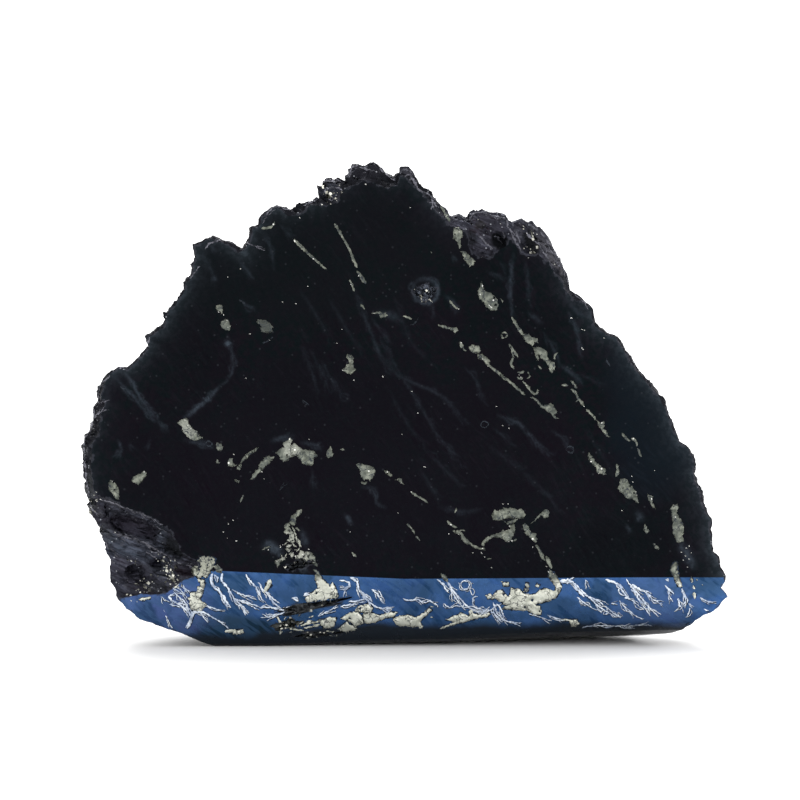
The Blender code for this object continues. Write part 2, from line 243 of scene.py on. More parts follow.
def stone_grain():
    """Uneven height at three sizes, for fine relief in the shading."""
    inputs = {"Vector": (VECTOR, None), "Size": (FLOAT, 0.8 * MM), "Crispness": (FLOAT, 0.6)}
    tree, g, given, out = new_group("stone_grain", "ShaderNodeTree", inputs, {"Height": FLOAT})
    scale = g.math("DIVIDE", 1.0, given["Size"])
    soft = g.noise(given["Vector"], scale, 4.0, given["Crispness"]).outputs[0]
    cells = g.node("ShaderNodeTexVoronoi", {"Vector": given["Vector"], "Scale": scale}, feature="F1")
    g.feed(out["Height"], g.math("ADD", soft, g.math("MULTIPLY", cells.outputs["Distance"], 0.5)))
    return tree


STREAKS, PATCH, BAND, SPECKLE, GRAIN = (
    foliation_streaks(), tint_patch(), blue_band(), speckle(), stone_grain()
)
BAND_HEIGHTS = {
    "Left Height": place(0, 571)[1], "Middle Height": place(0, 579)[1], "Right Height": place(0, 577.5)[1],
}


# Materials


def new_material(name, metallic, roughness, specular=0.5):
    """A material whose shader is ready, its graph and the object coordinates."""
    material = bpy.data.materials.new(name)
    material.use_nodes = True
    g = Graph(material.node_tree)
    shader = material.node_tree.nodes["Principled BSDF"]
    shader.inputs["Metallic"].default_value = metallic
    shader.inputs["Roughness"].default_value = roughness
    shader.inputs["Specular IOR Level"].default_value = specular
    where = g.node("ShaderNodeTexCoord").outputs["Object"]
    return material, g, shader.inputs, where


def add_bump(g, shader, height, distance, strength=1.0):
    values = {"Height": height, "Distance": distance, "Strength": strength}
    g.feed(shader["Normal"], g.node("ShaderNodeBump", values).outputs["Normal"])


def unevenness(g, where, size, amount):
    """A value that wanders about 0 over the given size."""
    wander = g.noise(where, 1 / size, 3.0, 0.6).outputs[0]
    return g.math("MULTIPLY", g.math("SUBTRACT", wander, 0.5), amount)


def patch_mask(g, where, uneven, pixel, half_width, half_height, lean=0.0):
    x, z = place(*pixel)
    values = {"Centre_X": x, "Centre_Z": z, "Half_Width": half_width * MM, "Half_Height": half_height * MM}
    return g.group(PATCH, Vector=where, Uneven=uneven, Lean=-math.radians(lean), **values).outputs[0]


def stored(g, name):
    """A value stored at the points of the piece."""
    return g.node("ShaderNodeAttribute", attribute_name=name).outputs["Fac"]


def edge_mask(g, reach, softness, uneven):
    """The crushed line along the edge of a region, from the piece's rim attribute."""
    return g.step(g.math("ADD", stored(g, "rim"), uneven), 1.0 - reach, 1.0 - reach + softness)


# Tints of the blue band, a painted reflection: centre in pixels, half width and half height in millimetres, share and
# colour
BAND_TINTS = [
    ((226, 634), 11, 3.0, 0.95, (0.010, 0.022, 0.028)), ((229, 584), 4.5, 1.8, 0.6, (0.011, 0.034, 0.066)),
    ((222, 607), 6, 2.0, 0.45, (0.016, 0.042, 0.082)), ((606, 594), 3, 2.4, 0.6, (0.012, 0.034, 0.064)),
    ((672, 620), 5, 1.8, 0.7, (0.020, 0.030, 0.060)), ((712, 590), 3.5, 1.8, 0.5, (0.016, 0.044, 0.074)),
    ((150, 612), 11, 7, 0.85, (0.062, 0.096, 0.240)), ((655, 604), 9, 5, 0.6, (0.060, 0.112, 0.270)),
    ((652, 612), 5, 2.2, 0.85, (0.056, 0.108, 0.255)),
    ((532, 582), 6, 1.8, 0.5, (0.018, 0.050, 0.135)), ((405, 590), 6, 2.0, 0.3, (0.022, 0.052, 0.150)),
]


def polished_covellite():
    material, g, shader, where = new_material("polished_covellite", metallic=1.0, roughness=0.3)
    broad = unevenness(g, where, 11 * MM, 1.2)
    fine_wander = unevenness(g, where, 0.9 * MM, 2.0)
    mottle = g.step(g.noise(where, 160.0, 5.0, 0.65).outputs[0], 0.4, 0.6)
    colour = g.mix(mottle, (0.0028, 0.0055, 0.0064, 1), (0.0068, 0.0041, 0.0078, 1))
    freckles = g.step(g.noise(where, 900.0, 3.0, 0.6).outputs[0], 0.42, 0.62)
    colour = g.mix(g.math("MULTIPLY", freckles, 0.7), colour, (0.0090, 0.0048, 0.0086, 1))
    clouds = g.step(g.noise(where, 42.0, 3.0, 0.55).outputs[0], 0.42, 0.62)
    colour = g.mix(g.math("MULTIPLY", clouds, 0.5), colour, (0.0032, 0.0036, 0.0048, 1))
    purple = g.math("MULTIPLY", patch_mask(g, where, broad, (360, 470), 42, 19), 0.7)
    colour = g.mix(purple, colour, (0.0058, 0.0036, 0.0066, 1))
    teal = g.math("MULTIPLY", patch_mask(g, where, broad, (300, 250), 30, 14), 0.5)
    colour = g.mix(teal, colour, (0.0052, 0.0070, 0.0080, 1))
    right = g.math("MULTIPLY", patch_mask(g, where, broad, (652, 400), 9, 18), 0.8)
    colour = g.mix(right, colour, (0.0056, 0.0094, 0.0145, 1))
    low_right = g.math("MULTIPLY", patch_mask(g, where, broad, (618, 545), 9, 6), 0.5)
    colour = g.mix(low_right, colour, (0.0026, 0.0034, 0.0042, 1))
    grain = g.step(g.noise(where, 1500.0, 3.0, 0.7).outputs[0], 0.45, 0.7)
    colour = g.mix(g.math("MULTIPLY", grain, 0.3), colour, (0.0090, 0.0105, 0.0125, 1))
    wide = g.group(
        STREAKS, Vector=where, Tilt=math.radians(-57), Pitch=3.1 * MM, Stretch=7.0, Cover=0.6, Softness=0.8
    ).outputs[0]
    colour = g.mix(g.math("MULTIPLY", wide, 0.1), colour, (0.0070, 0.0095, 0.0115, 1))
    fine = g.group(
        STREAKS, Vector=where, Tilt=math.radians(-57), Pitch=0.55 * MM, Stretch=7.0, Cover=0.9, Softness=1.0
    ).outputs[0]
    colour = g.mix(g.math("MULTIPLY", fine, 0.22), colour, (0.0072, 0.0100, 0.0118, 1))
    shade = g.group(
        STREAKS, Vector=g.vector("ADD", where, (0.02, 0.0, 0.07)), Tilt=math.radians(-52), Pitch=0.9 * MM,
        Stretch=6.0, Cover=0.9, Softness=0.8,
    ).outputs[0]
    colour = g.mix(g.math("MULTIPLY", shade, 0.28), colour, (0.0020, 0.0024, 0.0032, 1))
    broken = g.math("ADD", g.step(g.noise(where, 850.0, 3.0, 0.7).outputs[0], 0.36, 0.66, 0.25, 1.15), g.math("MULTIPLY", fine, 0.45))
    fibres = g.math("MULTIPLY", stored(g, "veins"), broken)
    colour = g.mix(fibres, colour, (0.036, 0.046, 0.060, 1))
    dots = g.group(SPECKLE, Vector=where, Size=0.55 * MM, Share=0.03)
    colour = g.mix(g.math("MULTIPLY", dots.outputs[0], 0.3), colour, (0.035, 0.038, 0.045, 1))
    # Painted light: a glare that lightens the face towards its outline, strongest in a thin line along it
    outline = stored(g, "outline")
    painted_glare_line = g.math("MULTIPLY", g.math("POWER", outline, 8.0), 0.85)
    painted_glare_share = g.step(g.node("ShaderNodeSeparateXYZ", {0: where}).outputs[0], -10 * MM, 25 * MM, 0.11, 0.18)
    painted_glare = g.math("ADD", painted_glare_line, g.math("MULTIPLY", g.math("POWER", outline, 2.0), painted_glare_share))
    painted_glare = g.math("MULTIPLY", painted_glare, g.math("ADD", 0.6, g.math("MULTIPLY", freckles, 0.6)))
    colour = g.mix(painted_glare, colour, (0.028, 0.036, 0.044, 1))

    # Painted reflection: the blue band is the polished stone's sheen where it mirrors the white floor, given as base
    # colour
    band = g.group(BAND, Vector=where)
    for name, value in BAND_HEIGHTS.items():
        band.inputs[name].default_value = value
    cloud = g.step(g.noise(where, 150.0, 5.0, 0.65).outputs[0], 0.42, 0.66)
    blue = g.mix(cloud, (0.041, 0.104, 0.275, 1), (0.024, 0.064, 0.172, 1))
    for centre, half_width, half_height, share, tint in BAND_TINTS:
        mask = patch_mask(g, where, broad, centre, half_width, half_height)
        blue = g.mix(g.math("MULTIPLY", mask, share), blue, (*tint, 1))
    teal = g.step(g.noise(where, 95.0, 4.0, 0.6, 0.6).outputs[0], 0.53, 0.64)
    blue = g.mix(g.math("MULTIPLY", teal, 0.75), blue, (0.012, 0.037, 0.084, 1))
    blotches = g.step(g.noise(where, 380.0, 4.0, 0.7, 0.5).outputs[0], 0.44, 0.62)
    blue = g.mix(g.math("MULTIPLY", blotches, 0.4), blue, (0.014, 0.046, 0.100, 1))
    swirl = g.group(
        STREAKS, Vector=where, Tilt=math.radians(-40), Pitch=1.6 * MM, Stretch=5.0, Cover=0.4, Softness=0.4
    ).outputs[0]
    blue = g.mix(g.math("MULTIPLY", swirl, 0.3), blue, (0.065, 0.135, 0.270, 1))
    # Painted shade: the band turns dark towards its foot
    blue = g.mix(band.outputs["Above Foot"], (0.018, 0.023, 0.031, 1), blue)
    colour = g.mix(band.outputs["Mask"], colour, blue)
    crushed = edge_mask(g, 0.18, 0.2, fine_wander)
    colour = g.mix(g.math("MULTIPLY", crushed, 0.6), colour, (0.036, 0.038, 0.048, 1))
    g.feed(shader["Base Color"], colour)
    g.feed(shader["Roughness"], g.math("ADD", 0.24, g.math("MULTIPLY", mottle, 0.1)))
    add_bump(g, shader, g.group(GRAIN, Vector=where, Size=0.7 * MM, Crispness=0.6).outputs[0], 0.02 * MM, 0.5)
    return material


# Tints of the natural stone on the front: centre in pixels, half width and half height in millimetres,
# lean in degrees down to the right, share and colour
NATURAL_TINTS = [
    ((128, 511), 7.0, 0.9, 18, 0.6, (0.050, 0.052, 0.070)),
    ((161, 534), 1.2, 1.7, 0, 0.8, (0.042, 0.056, 0.072)), ((140, 547), 7.2, 0.9, 25, 0.75, (0.085, 0.082, 0.105)),
    ((108, 535), 2.2, 2.0, 50, 0.6, (0.060, 0.066, 0.070)), ((130, 556), 4.0, 1.2, 18, 0.7, (0.030, 0.038, 0.055)),
    ((140, 556), 7.0, 5.0, 20, 0.5, (0.076, 0.095, 0.130)), ((133, 577), 5.5, 2.4, 28, 0.75, (0.040, 0.033, 0.046)),
    ((155, 573), 2.6, 0.9, 30, 0.6, (0.080, 0.085, 0.105)), ((184, 570), 2.2, 1.3, 8, 0.85, (0.026, 0.018, 0.025)),
    ((155, 589), 2.6, 1.0, 5, 0.6, (0.034, 0.038, 0.036)), ((117, 590), 1.4, 2.0, 30, 0.6, (0.032, 0.035, 0.055)),
    ((487, 227), 3.2, 2.6, 20, 0.85, (0.027, 0.019, 0.025)), 
    ((517, 234), 1.0, 2.8, 25, 0.7, (0.052, 0.047, 0.052)), 
    ((549, 250), 4.8, 1.5, 56, 0.85, (0.125, 0.120, 0.130)), ((331, 192), 2.0, 1.2, -10, 0.7, (0.030, 0.034, 0.048)),
    ((408, 172), 1.6, 0.8, 10, 0.7, (0.060, 0.060, 0.074)), ((88, 500), 1.0, 4.5, 0, 0.6, (0.045, 0.050, 0.052)),
    ((306, 609), 6.8, 1.5, -13, 0.8, (0.120, 0.128, 0.135)), ((288, 628), 3.0, 2.0, 0, 0.8, (0.110, 0.116, 0.105)),
    ((318, 637), 6.5, 1.2, -6, 0.8, (0.085, 0.088, 0.088)), ((300, 566), 2.8, 1.4, 12, 0.8, (0.075, 0.082, 0.092)),
    ((425, 293), 2.0, 2.0, 0, 0.95, (0.120, 0.135, 0.170)),
]

# Painted shade on the floors of hollows on the front, in the same form
PAINTED_HOLLOW_SHADE = [
    ((131, 530), 5.2, 2.1, 14, 0.75, (0.0110, 0.0085, 0.0140)), ((173, 549), 2.4, 1.8, 40, 0.9, (0.0036, 0.0042, 0.0050)),
    ((154, 566), 1.2, 0.9, 20, 0.8, (0.0060, 0.0058, 0.0110)), ((184, 574), 2.0, 0.6, 8, 0.7, (0.0090, 0.0060, 0.0090)),
    ((500, 243), 1.9, 1.5, 60, 0.9, (0.0036, 0.0044, 0.0056)), ((531, 243), 2.4, 1.2, 62, 0.85, (0.0050, 0.0058, 0.0062)),
    ((480, 226), 1.0, 0.8, 0, 0.6, (0.0120, 0.0110, 0.0090)), ((470, 240), 1.2, 1.6, 30, 0.6, (0.0060, 0.0070, 0.0080)),
    ((368, 190), 5.0, 1.6, 0, 0.7, (0.0050, 0.0052, 0.0070)), ((412, 190), 1.2, 1.6, 40, 0.8, (0.0044, 0.0048, 0.0062)),
]


def natural_covellite():
    material, g, shader, where = new_material("natural_covellite", metallic=0.9, roughness=0.42, specular=0.3)
    broad = unevenness(g, where, 9 * MM, 1.6)
    close = unevenness(g, where, 1.6 * MM, 2.4)
    patch = g.step(g.noise(where, 160.0, 5.0, 0.65).outputs[0], 0.4, 0.62)
    colour = g.mix(patch, (0.0055, 0.0060, 0.0080, 1), (0.0130, 0.0125, 0.0165, 1))
    chip = patch_mask(g, where, broad, (135, 555), 13, 12)
    crest = patch_mask(g, where, broad, (505, 235), 14, 9)
    pale = g.math("ADD", chip, crest, clamp=True)
    pale_stone = g.mix(patch, (0.015, 0.015, 0.022, 1), (0.046, 0.043, 0.058, 1))
    colour = g.mix(g.math("MULTIPLY", pale, 0.85), colour, pale_stone)
    for centre, half_width, half_height, lean, share, tint in NATURAL_TINTS:
        mask = patch_mask(g, where, close, centre, half_width, half_height, lean)
        colour = g.mix(g.math("MULTIPLY", mask, share), colour, (*tint, 1))
    flakes = g.group(
        STREAKS, Vector=where, Tilt=math.radians(-24), Pitch=0.6 * MM, Stretch=9.0, Cover=0.8, Softness=0.4
    ).outputs[0]
    dark_flakes = g.group(
        STREAKS, Vector=g.vector("ADD", where, (0.03, 0.0, 0.05)), Tilt=math.radians(-24), Pitch=0.8 * MM,
        Stretch=8.0, Cover=0.7, Softness=0.4,
    ).outputs[0]
    flake_colour = g.mix(pale, (0.020, 0.025, 0.034, 1), (0.085, 0.092, 0.122, 1))
    depth = g.node("ShaderNodeSeparateXYZ", {0: where}).outputs[1]
    rough_share = g.math("MAXIMUM", pale, g.step(depth, FRONT + 1 * MM, FRONT + 6 * MM, 0.35, 1.0))
    behind = g.step(depth, FRONT + 4 * MM, FRONT + 10 * MM)
    indigo = g.step(g.noise(where, 60.0, 5.0, 0.6, 0.4).outputs[0], 0.5, 0.6)
    colour = g.mix(g.math("MULTIPLY", g.math("MULTIPLY", indigo, behind), 0.6), colour, (0.0085, 0.0150, 0.0420, 1))
    colour = g.mix(g.math("MULTIPLY", g.math("MULTIPLY", flakes, 0.42), rough_share), colour, flake_colour)
    dark_share = g.math("MULTIPLY", g.math("MULTIPLY", dark_flakes, 0.55), rough_share)
    colour = g.mix(dark_share, colour, (0.0060, 0.0055, 0.0085, 1))
    dust = g.step(g.noise(where, 900.0, 4.0, 0.7).outputs[0], 0.56, 0.72)
    colour = g.mix(g.math("MULTIPLY", dust, 0.55), colour, (0.070, 0.072, 0.085, 1))
    glints = g.group(SPECKLE, Vector=where, Size=0.38 * MM, Share=0.045)
    colour = g.mix(g.math("MULTIPLY", glints.outputs[0], 0.7), colour, (0.42, 0.44, 0.48, 1))
    # Painted shade in the hollows of the front
    for centre, half_width, half_height, lean, share, tint in PAINTED_HOLLOW_SHADE:
        mask = patch_mask(g, where, close, centre, half_width, half_height, lean)
        colour = g.mix(g.math("MULTIPLY", mask, share), colour, (*tint, 1))
    crushed = edge_mask(g, 0.2, 0.25, unevenness(g, where, 0.9 * MM, 2.6))
    colour = g.mix(g.math("MULTIPLY", crushed, 0.45), colour, (0.046, 0.048, 0.060, 1))
    g.feed(shader["Base Color"], colour)
    g.feed(shader["Roughness"], g.step(g.noise(where, 300.0, 3.0).outputs[0], 0.3, 0.7, 0.3, 0.55))
    add_bump(g, shader, g.group(GRAIN, Vector=where, Size=0.7 * MM, Crispness=0.75).outputs[0], 0.22 * MM, 0.9)
    return material


def sawn_covellite():
    material, g, shader, where = new_material("sawn_covellite", metallic=0.3, roughness=0.6)
    saw_lines = g.node("ShaderNodeTexWave", {"Vector": where, "Scale": 260.0, "Distortion": 1.5, "Detail": 2.0}).outputs[0]
    patch = g.step(g.noise(where, 90.0, 4.0, 0.6).outputs[0], 0.4, 0.62)
    colour = g.mix(patch, (0.012, 0.018, 0.035, 1), (0.022, 0.026, 0.040, 1))
    g.feed(shader["Base Color"], g.mix(g.math("MULTIPLY", saw_lines, 0.25), colour, (0.05, 0.055, 0.07, 1)))
    add_bump(g, shader, saw_lines, 0.03 * MM, 0.6)
    return material


# Tones of single bodies of pyrite, in the form of the natural stone's tints without the lean
PYRITE_TONES = [
    ((293, 550), 3.6, 3.4, 0.65, (0.44, 0.45, 0.39)), ((204, 568), 2.4, 2.8, 0.6, (0.40, 0.41, 0.34)),
    ((266, 326), 2.0, 1.8, 0.8, (0.050, 0.056, 0.052)), ((225, 318), 1.6, 2.4, 0.4, (0.070, 0.076, 0.070)),
    ((187, 430), 1.8, 2.0, 0.4, (0.36, 0.37, 0.33)), ((291, 449), 1.8, 1.6, 0.4, (0.40, 0.41, 0.36)),
]


def pyrite():
    """Pyrite: brassy grey on the dark face, and paler where the band catches the light."""
    material, g, shader, where = new_material("pyrite", metallic=1.0, roughness=0.34)
    band = g.group(BAND, Vector=where, Softness=1.2 * MM, Foot_Height=1.0 * MM)
    for name, value in BAND_HEIGHTS.items():
        band.inputs[name].default_value = value
    tone = g.step(g.noise(where, 900.0, 3.0, 0.6).outputs[0], 0.35, 0.65)
    lumps = g.step(g.noise(g.vector("ADD", where, (0.02, 0.0, 0.03)), 420.0, 3.0, 0.6).outputs[0], 0.38, 0.62)
    dark_face = g.mix(tone, (0.085, 0.093, 0.077, 1), (0.245, 0.260, 0.215, 1))
    dark_face = g.mix(g.math("MULTIPLY", lumps, 0.55), dark_face, (0.075, 0.086, 0.080, 1))
    # Painted reflection: in the band the pyrite is paler, like the band itself, and painted shade darkens it towards
    # the foot
    in_band = g.mix(tone, (0.50, 0.515, 0.44, 1), (0.74, 0.75, 0.66, 1))
    in_band = g.mix(band.outputs["Above Foot"], (0.40, 0.41, 0.35, 1), in_band)
    colour = g.mix(band.outputs["Mask"], dark_face, in_band)
    ragged = unevenness(g, where, 1.2 * MM, 1.8)
    for centre, half_width, half_height, share, tint in PYRITE_TONES:
        mask = patch_mask(g, where, ragged, centre, half_width, half_height)
        colour = g.mix(g.math("MULTIPLY", mask, share), colour, (*tint, 1))
    bent = g.noise(where, 700.0, 2.0).outputs["Color"]
    bent = g.vector("ADD", where, g.vector("MULTIPLY", g.vector("SUBTRACT", bent, (0.5, 0.5, 0.5)), (0.0022,) * 3))
    cells = {"Vector": bent, "Scale": 1 / (1.3 * MM)}
    edges = g.node("ShaderNodeTexVoronoi", cells, feature="DISTANCE_TO_EDGE").outputs[0]
    cracks = g.math("MULTIPLY", g.step(edges, 0.02, 0.055, 1.0, 0.0), g.step(g.noise(where, 300.0, 2.0).outputs[0], 0.42, 0.52))
    colour = g.mix(g.math("MULTIPLY", cracks, 0.85), colour, (0.03, 0.035, 0.045, 1))
    pits = g.group(SPECKLE, Vector=where, Size=0.42 * MM, Share=0.09)
    colour = g.mix(g.math("MULTIPLY", pits.outputs[0], 0.75), colour, (0.04, 0.045, 0.05, 1))
    glints = g.group(SPECKLE, Vector=g.vector("ADD", where, (0.013, 0.0, 0.007)), Size=0.45 * MM, Share=0.05)
    colour = g.mix(glints.outputs[0], colour, (0.90, 0.90, 0.85, 1))
    g.feed(shader["Base Color"], colour)
    add_bump(g, shader, g.group(GRAIN, Vector=where, Size=0.5 * MM, Crispness=0.6).outputs[0], 0.04 * MM, 0.5)
    return material


def vein_material(name, pale, dark, roughness):
    material, g, shader, where = new_material(name, metallic=0.7, roughness=roughness)
    tone = g.step(g.noise(where, 700.0, 3.0, 0.6).outputs[0], 0.35, 0.6)
    g.feed(shader["Base Color"], g.mix(tone, dark, pale))
    return material


def pyrite_grain():
    """Loose crystals of pyrite, some bright and some dull."""
    material, g, shader, where = new_material("pyrite_grain", metallic=1.0, roughness=0.3)
    tone = g.step(g.noise(where, 600.0, 2.0, 0.5).outputs[0], 0.35, 0.65)
    g.feed(shader["Base Color"], g.mix(tone, (0.07, 0.07, 0.060, 1), (0.80, 0.79, 0.70, 1)))
    add_bump(g, shader, g.group(GRAIN, Vector=where, Size=0.3 * MM, Crispness=0.6).outputs[0], 0.02 * MM, 0.4)
    return material


# The stone's surface


def profile(x):
    """The polished section at x, as (y, z) points from the bevel's upper edge to the base."""
    top = place(0, across(x, BAND_EDGE))[1]
    heel = Vector((BAND_DEPTH, across(x, BAND_HEEL)))
    start, end = Vector((0.0, top)), Vector((across(x, BASE_FRONT), 0.0))
    shares = [step / 8 for step in range(9)]
    return [start * (1 - t) ** 3 + heel * 3 * t * (1 - t) + end * t**3 for t in shares]


def off_polish(point):
    """How far a point of the stone lies from the polished section."""
    section = profile(point.x)
    here = Vector((point.y - FRONT, point.z))
    if here.y >= section[0].y:
        return abs(here.x)
    away = 1.0
    for one, other in zip(section, section[1:]):
        span = other - one
        share = min(1.0, max(0.0, (here - one).dot(span) / span.length_squared))
        away = min(away, (here - one - span * share).length)
    return away


def outline_tree(bm):
    """The stone's outline seen from the front, as a tree of points in the plane of the polished face."""
    solid = BVHTree.FromBMesh(bm)
    beside = [1.2 * MM * Vector((math.cos(t), 0.0, math.sin(t))) for t in (math.tau * i / 12 for i in range(12))]
    found = []
    for edge in bm.edges:
        if len(edge.link_faces) == 2 and edge.link_faces[0].normal.y * edge.link_faces[1].normal.y < 0:
            one, other = (Vector((v.co.x, -0.1, v.co.z)) for v in edge.verts)
            points = [one.lerp(other, i / 3) for i in range(3)]
            if any(solid.ray_cast(points[0] + way, Vector((0, 1, 0)))[0] is None for way in beside):
                found += points
    tree = kdtree.KDTree(len(found))
    for i, point in enumerate(found):
        tree.insert((point.x, 0.0, point.z), i)
    tree.balance()
    return tree


def stone_regions():
    """The part's surface, split into the polished face, the sawn base and the natural rest, and its outline."""
    whole = bmesh.new()
    whole.from_mesh(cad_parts[NODE].data)
    bmesh.ops.remove_doubles(whole, verts=whole.verts, dist=2e-6)
    outline = outline_tree(whole)
    regions = {"polished": bmesh.new(), "sawn": bmesh.new(), "natural": bmesh.new()}
    copies = {name: {} for name in regions}
    for face in whole.faces:
        centre = face.calc_center_median()
        corners = [v.co for v in face.verts]
        if max(c.z for c in corners) < 0.01 * MM:
            name = "sawn"
        elif max(off_polish(c) for c in corners + [centre]) < 0.08 * MM and face.normal.y < -0.02:
            name = "polished"
        else:
            name = "natural"
        made = []
        for vert in face.verts:
            if vert.index not in copies[name]:
                copies[name][vert.index] = regions[name].verts.new(vert.co)
            made.append(copies[name][vert.index])
        regions[name].faces.new(made)
    whole.free()
    return regions, outline


def rim_step(point):
    """The longest edge wanted at the edges of the regions: finer at the front."""
    return 0.42 * MM if point.y < FRONT + 5 * MM else 0.85 * MM


def refine(bm, longest):
    """Cuts edges until none is longer than longest(middle of the edge), or rim_step on the region's rim.

    The flat front is triangulated anew before each round, so that its triangles stay compact."""
    for _ in range(12):
        bm.normal_update()
        flat = [e for e in bm.edges if len(e.link_faces) == 2 and max(f.normal.y for f in e.link_faces) < -0.9999]
        bmesh.ops.beautify_fill(bm, faces=list({f for e in flat for f in e.link_faces}), edges=flat)
        long_edges = []
        for edge in bm.edges:
            middle = (edge.verts[0].co + edge.verts[1].co) / 2
            if edge.calc_length() > (rim_step(middle) if edge.is_boundary else longest(middle)):
                long_edges.append(edge)
        if not long_edges:
            break
        bmesh.ops.subdivide_edges(bm, edges=long_edges, cuts=1)
        bmesh.ops.triangulate(bm, faces=[f for f in bm.faces if len(f.verts) > 3])


def rim_tree(bm):
    """The rim of a region as a tree of points, to measure distances from."""
    rim = [v.co.copy() for e in bm.edges if e.is_boundary for v in e.verts]
    rim += [(e.verts[0].co + e.verts[1].co) / 2 for e in bm.edges if e.is_boundary]
    tree = kdtree.KDTree(len(rim))
    for i, point in enumerate(rim):
        tree.insert(point, i)
    tree.balance()
    return tree


def distances(bm, tree):
    return [tree.find(v.co)[2] for v in bm.verts]


def rough_rim(bm, away):
    """Makes the line between two regions jagged: both move their shared points alike, and fade inwards."""
    for vert, distance in zip(bm.verts, away):
        near = max(0.0, 1.0 - distance / (1.3 * MM))
        standing = min(1.0, max(0.0, (vert.co.z - 0.4 * MM) / (1.2 * MM)))
        on_face = min(1.0, max(0.0, (vert.co.z - place(0, 576)[1]) / (2 * MM)))
        push = noise.noise_vector(vert.co * 800) * 0.24 * MM + noise.noise_vector(vert.co * 2000) * 0.16 * MM
        vert.co += Vector((push.x, 0.0, push.z * on_face)) * near * standing


def store(mesh, name, values):
    mesh.attributes.new(name, "FLOAT", "POINT").data.foreach_set("value", values)


def closeness(away, reach):
    """1 at a distance of 0, and 0 from reach on."""
    return [max(0.0, 1.0 - distance / reach) for distance in away]


def vein_strength(mesh):
    """How strongly the soft veins show at each point of a mesh."""
    here = np.empty(3 * len(mesh.vertices))
    mesh.vertices.foreach_get("co", here)
    here = here.reshape(-1, 3)[:, (0, 2)]
    strength = np.zeros(len(here))
    for points, width, most in SOFT_VEINS:
        for path, first, _ in strands([(points, width, width, 0.9)], len(points)):
            line = np.array([place(*point) for point in smooth_path(path, 1.5)])
            reach = 0.5 * max(2.0, 0.7 * first) * PIXEL
            near = np.all((here > line.min(0) - 3 * reach) & (here < line.max(0) + 3 * reach), axis=1)
            offsets = np.linalg.norm(here[near][:, None] - line[None], axis=2)
            share = offsets.argmin(axis=1) / max(1, len(line) - 1)
            fade = np.minimum(1.0, 0.25 + 2.5 * np.minimum(share, 1.0 - share))
            value = most * (0.35 + 0.65 * first / width) * fade * np.exp(-(offsets.min(axis=1) / reach) ** 2)
            strength[near] = np.maximum(strength[near], value)
    return strength


def to_piece(bm, name, material, smooth_angle):
    mesh = bpy.data.meshes.new(name)
    bm.to_mesh(mesh)
    bm.free()
    mesh.materials.append(material)
    mesh.shade_smooth()
    mesh.set_sharp_from_angle(angle=math.radians(smooth_angle))
    piece = bpy.data.objects.new(name, mesh)
    bpy.context.scene.collection.objects.link(piece)
    return piece


def foliated_relief():
    """Geometry nodes: raises a surface into foliation ledges and grain, held still where free is 0."""
    inputs = {
        "Geometry": ("NodeSocketGeometry", None), "Ledge Height": (FLOAT, 0.5 * MM), "Ledge Pitch": (FLOAT, 2.4 * MM),
        "Grain Height": (FLOAT, 0.25 * MM), "Grain Size": (FLOAT, 1.0 * MM), "Tilt": (FLOAT, -0.6),
        "Material": ("NodeSocketMaterial", None),
    }
    tree, g, given, out = new_group("foliated_relief", "GeometryNodeTree", inputs, {"Geometry": "NodeSocketGeometry"})
    where = g.node("GeometryNodeInputPosition").outputs[0]
    turned = g.node("ShaderNodeVectorRotate", {"Vector": where, "Angle": given["Tilt"]}, rotation_type="Y_AXIS").outputs[0]
    parts = g.node("ShaderNodeSeparateXYZ", {0: turned}).outputs
    bend = g.math("MULTIPLY", g.noise(where, 130.0, 2.0).outputs[0], 2.6)
    phase = g.math("ADD", g.math("DIVIDE", g.math("ADD", parts[2], g.math("MULTIPLY", parts[1], 0.6)), given["Ledge Pitch"]), bend)
    saw = g.math("SUBTRACT", g.math("FRACT", phase), 0.5)
    strong = g.step(g.noise(where, 110.0, 1.0).outputs[0], 0.35, 0.62, 0.15, 1.0)
    fine = g.node("GeometryNodeInputNamedAttribute", {"Name": "fine"}, data_type="FLOAT").outputs[0]
    small_saw = g.math("SUBTRACT", g.math("FRACT", g.math("MULTIPLY", phase, 2.7)), 0.5)
    saw = g.math("ADD", saw, g.math("MULTIPLY", g.math("MULTIPLY", small_saw, fine), 0.5))
    ledge = g.math("MULTIPLY", g.math("MULTIPLY", saw, strong), given["Ledge Height"])
    grain = g.math("SUBTRACT", g.noise(where, g.math("DIVIDE", 1.0, given["Grain Size"]), 3.0, 0.6).outputs[0], 0.5)
    height = g.math("ADD", ledge, g.math("MULTIPLY", g.math("MULTIPLY", grain, 2.0), given["Grain Height"]))
    free = g.node("GeometryNodeInputNamedAttribute", {"Name": "free"}, data_type="FLOAT").outputs[0]
    normal = g.node("GeometryNodeInputNormal").outputs[0]
    offset = g.node("ShaderNodeVectorMath", {0: normal}, operation="SCALE")
    g.feed(offset.inputs["Scale"], g.math("MULTIPLY", height, free))
    moved = g.node("GeometryNodeSetPosition", {"Geometry": given["Geometry"], "Offset": offset.outputs[0]}).outputs[0]
    real = g.node("GeometryNodeRealizeInstances", {"Geometry": moved}).outputs[0]
    g.feed(out["Geometry"], g.node("GeometryNodeSetMaterial", {"Geometry": real, "Material": given["Material"]}).outputs[0])
    return tree


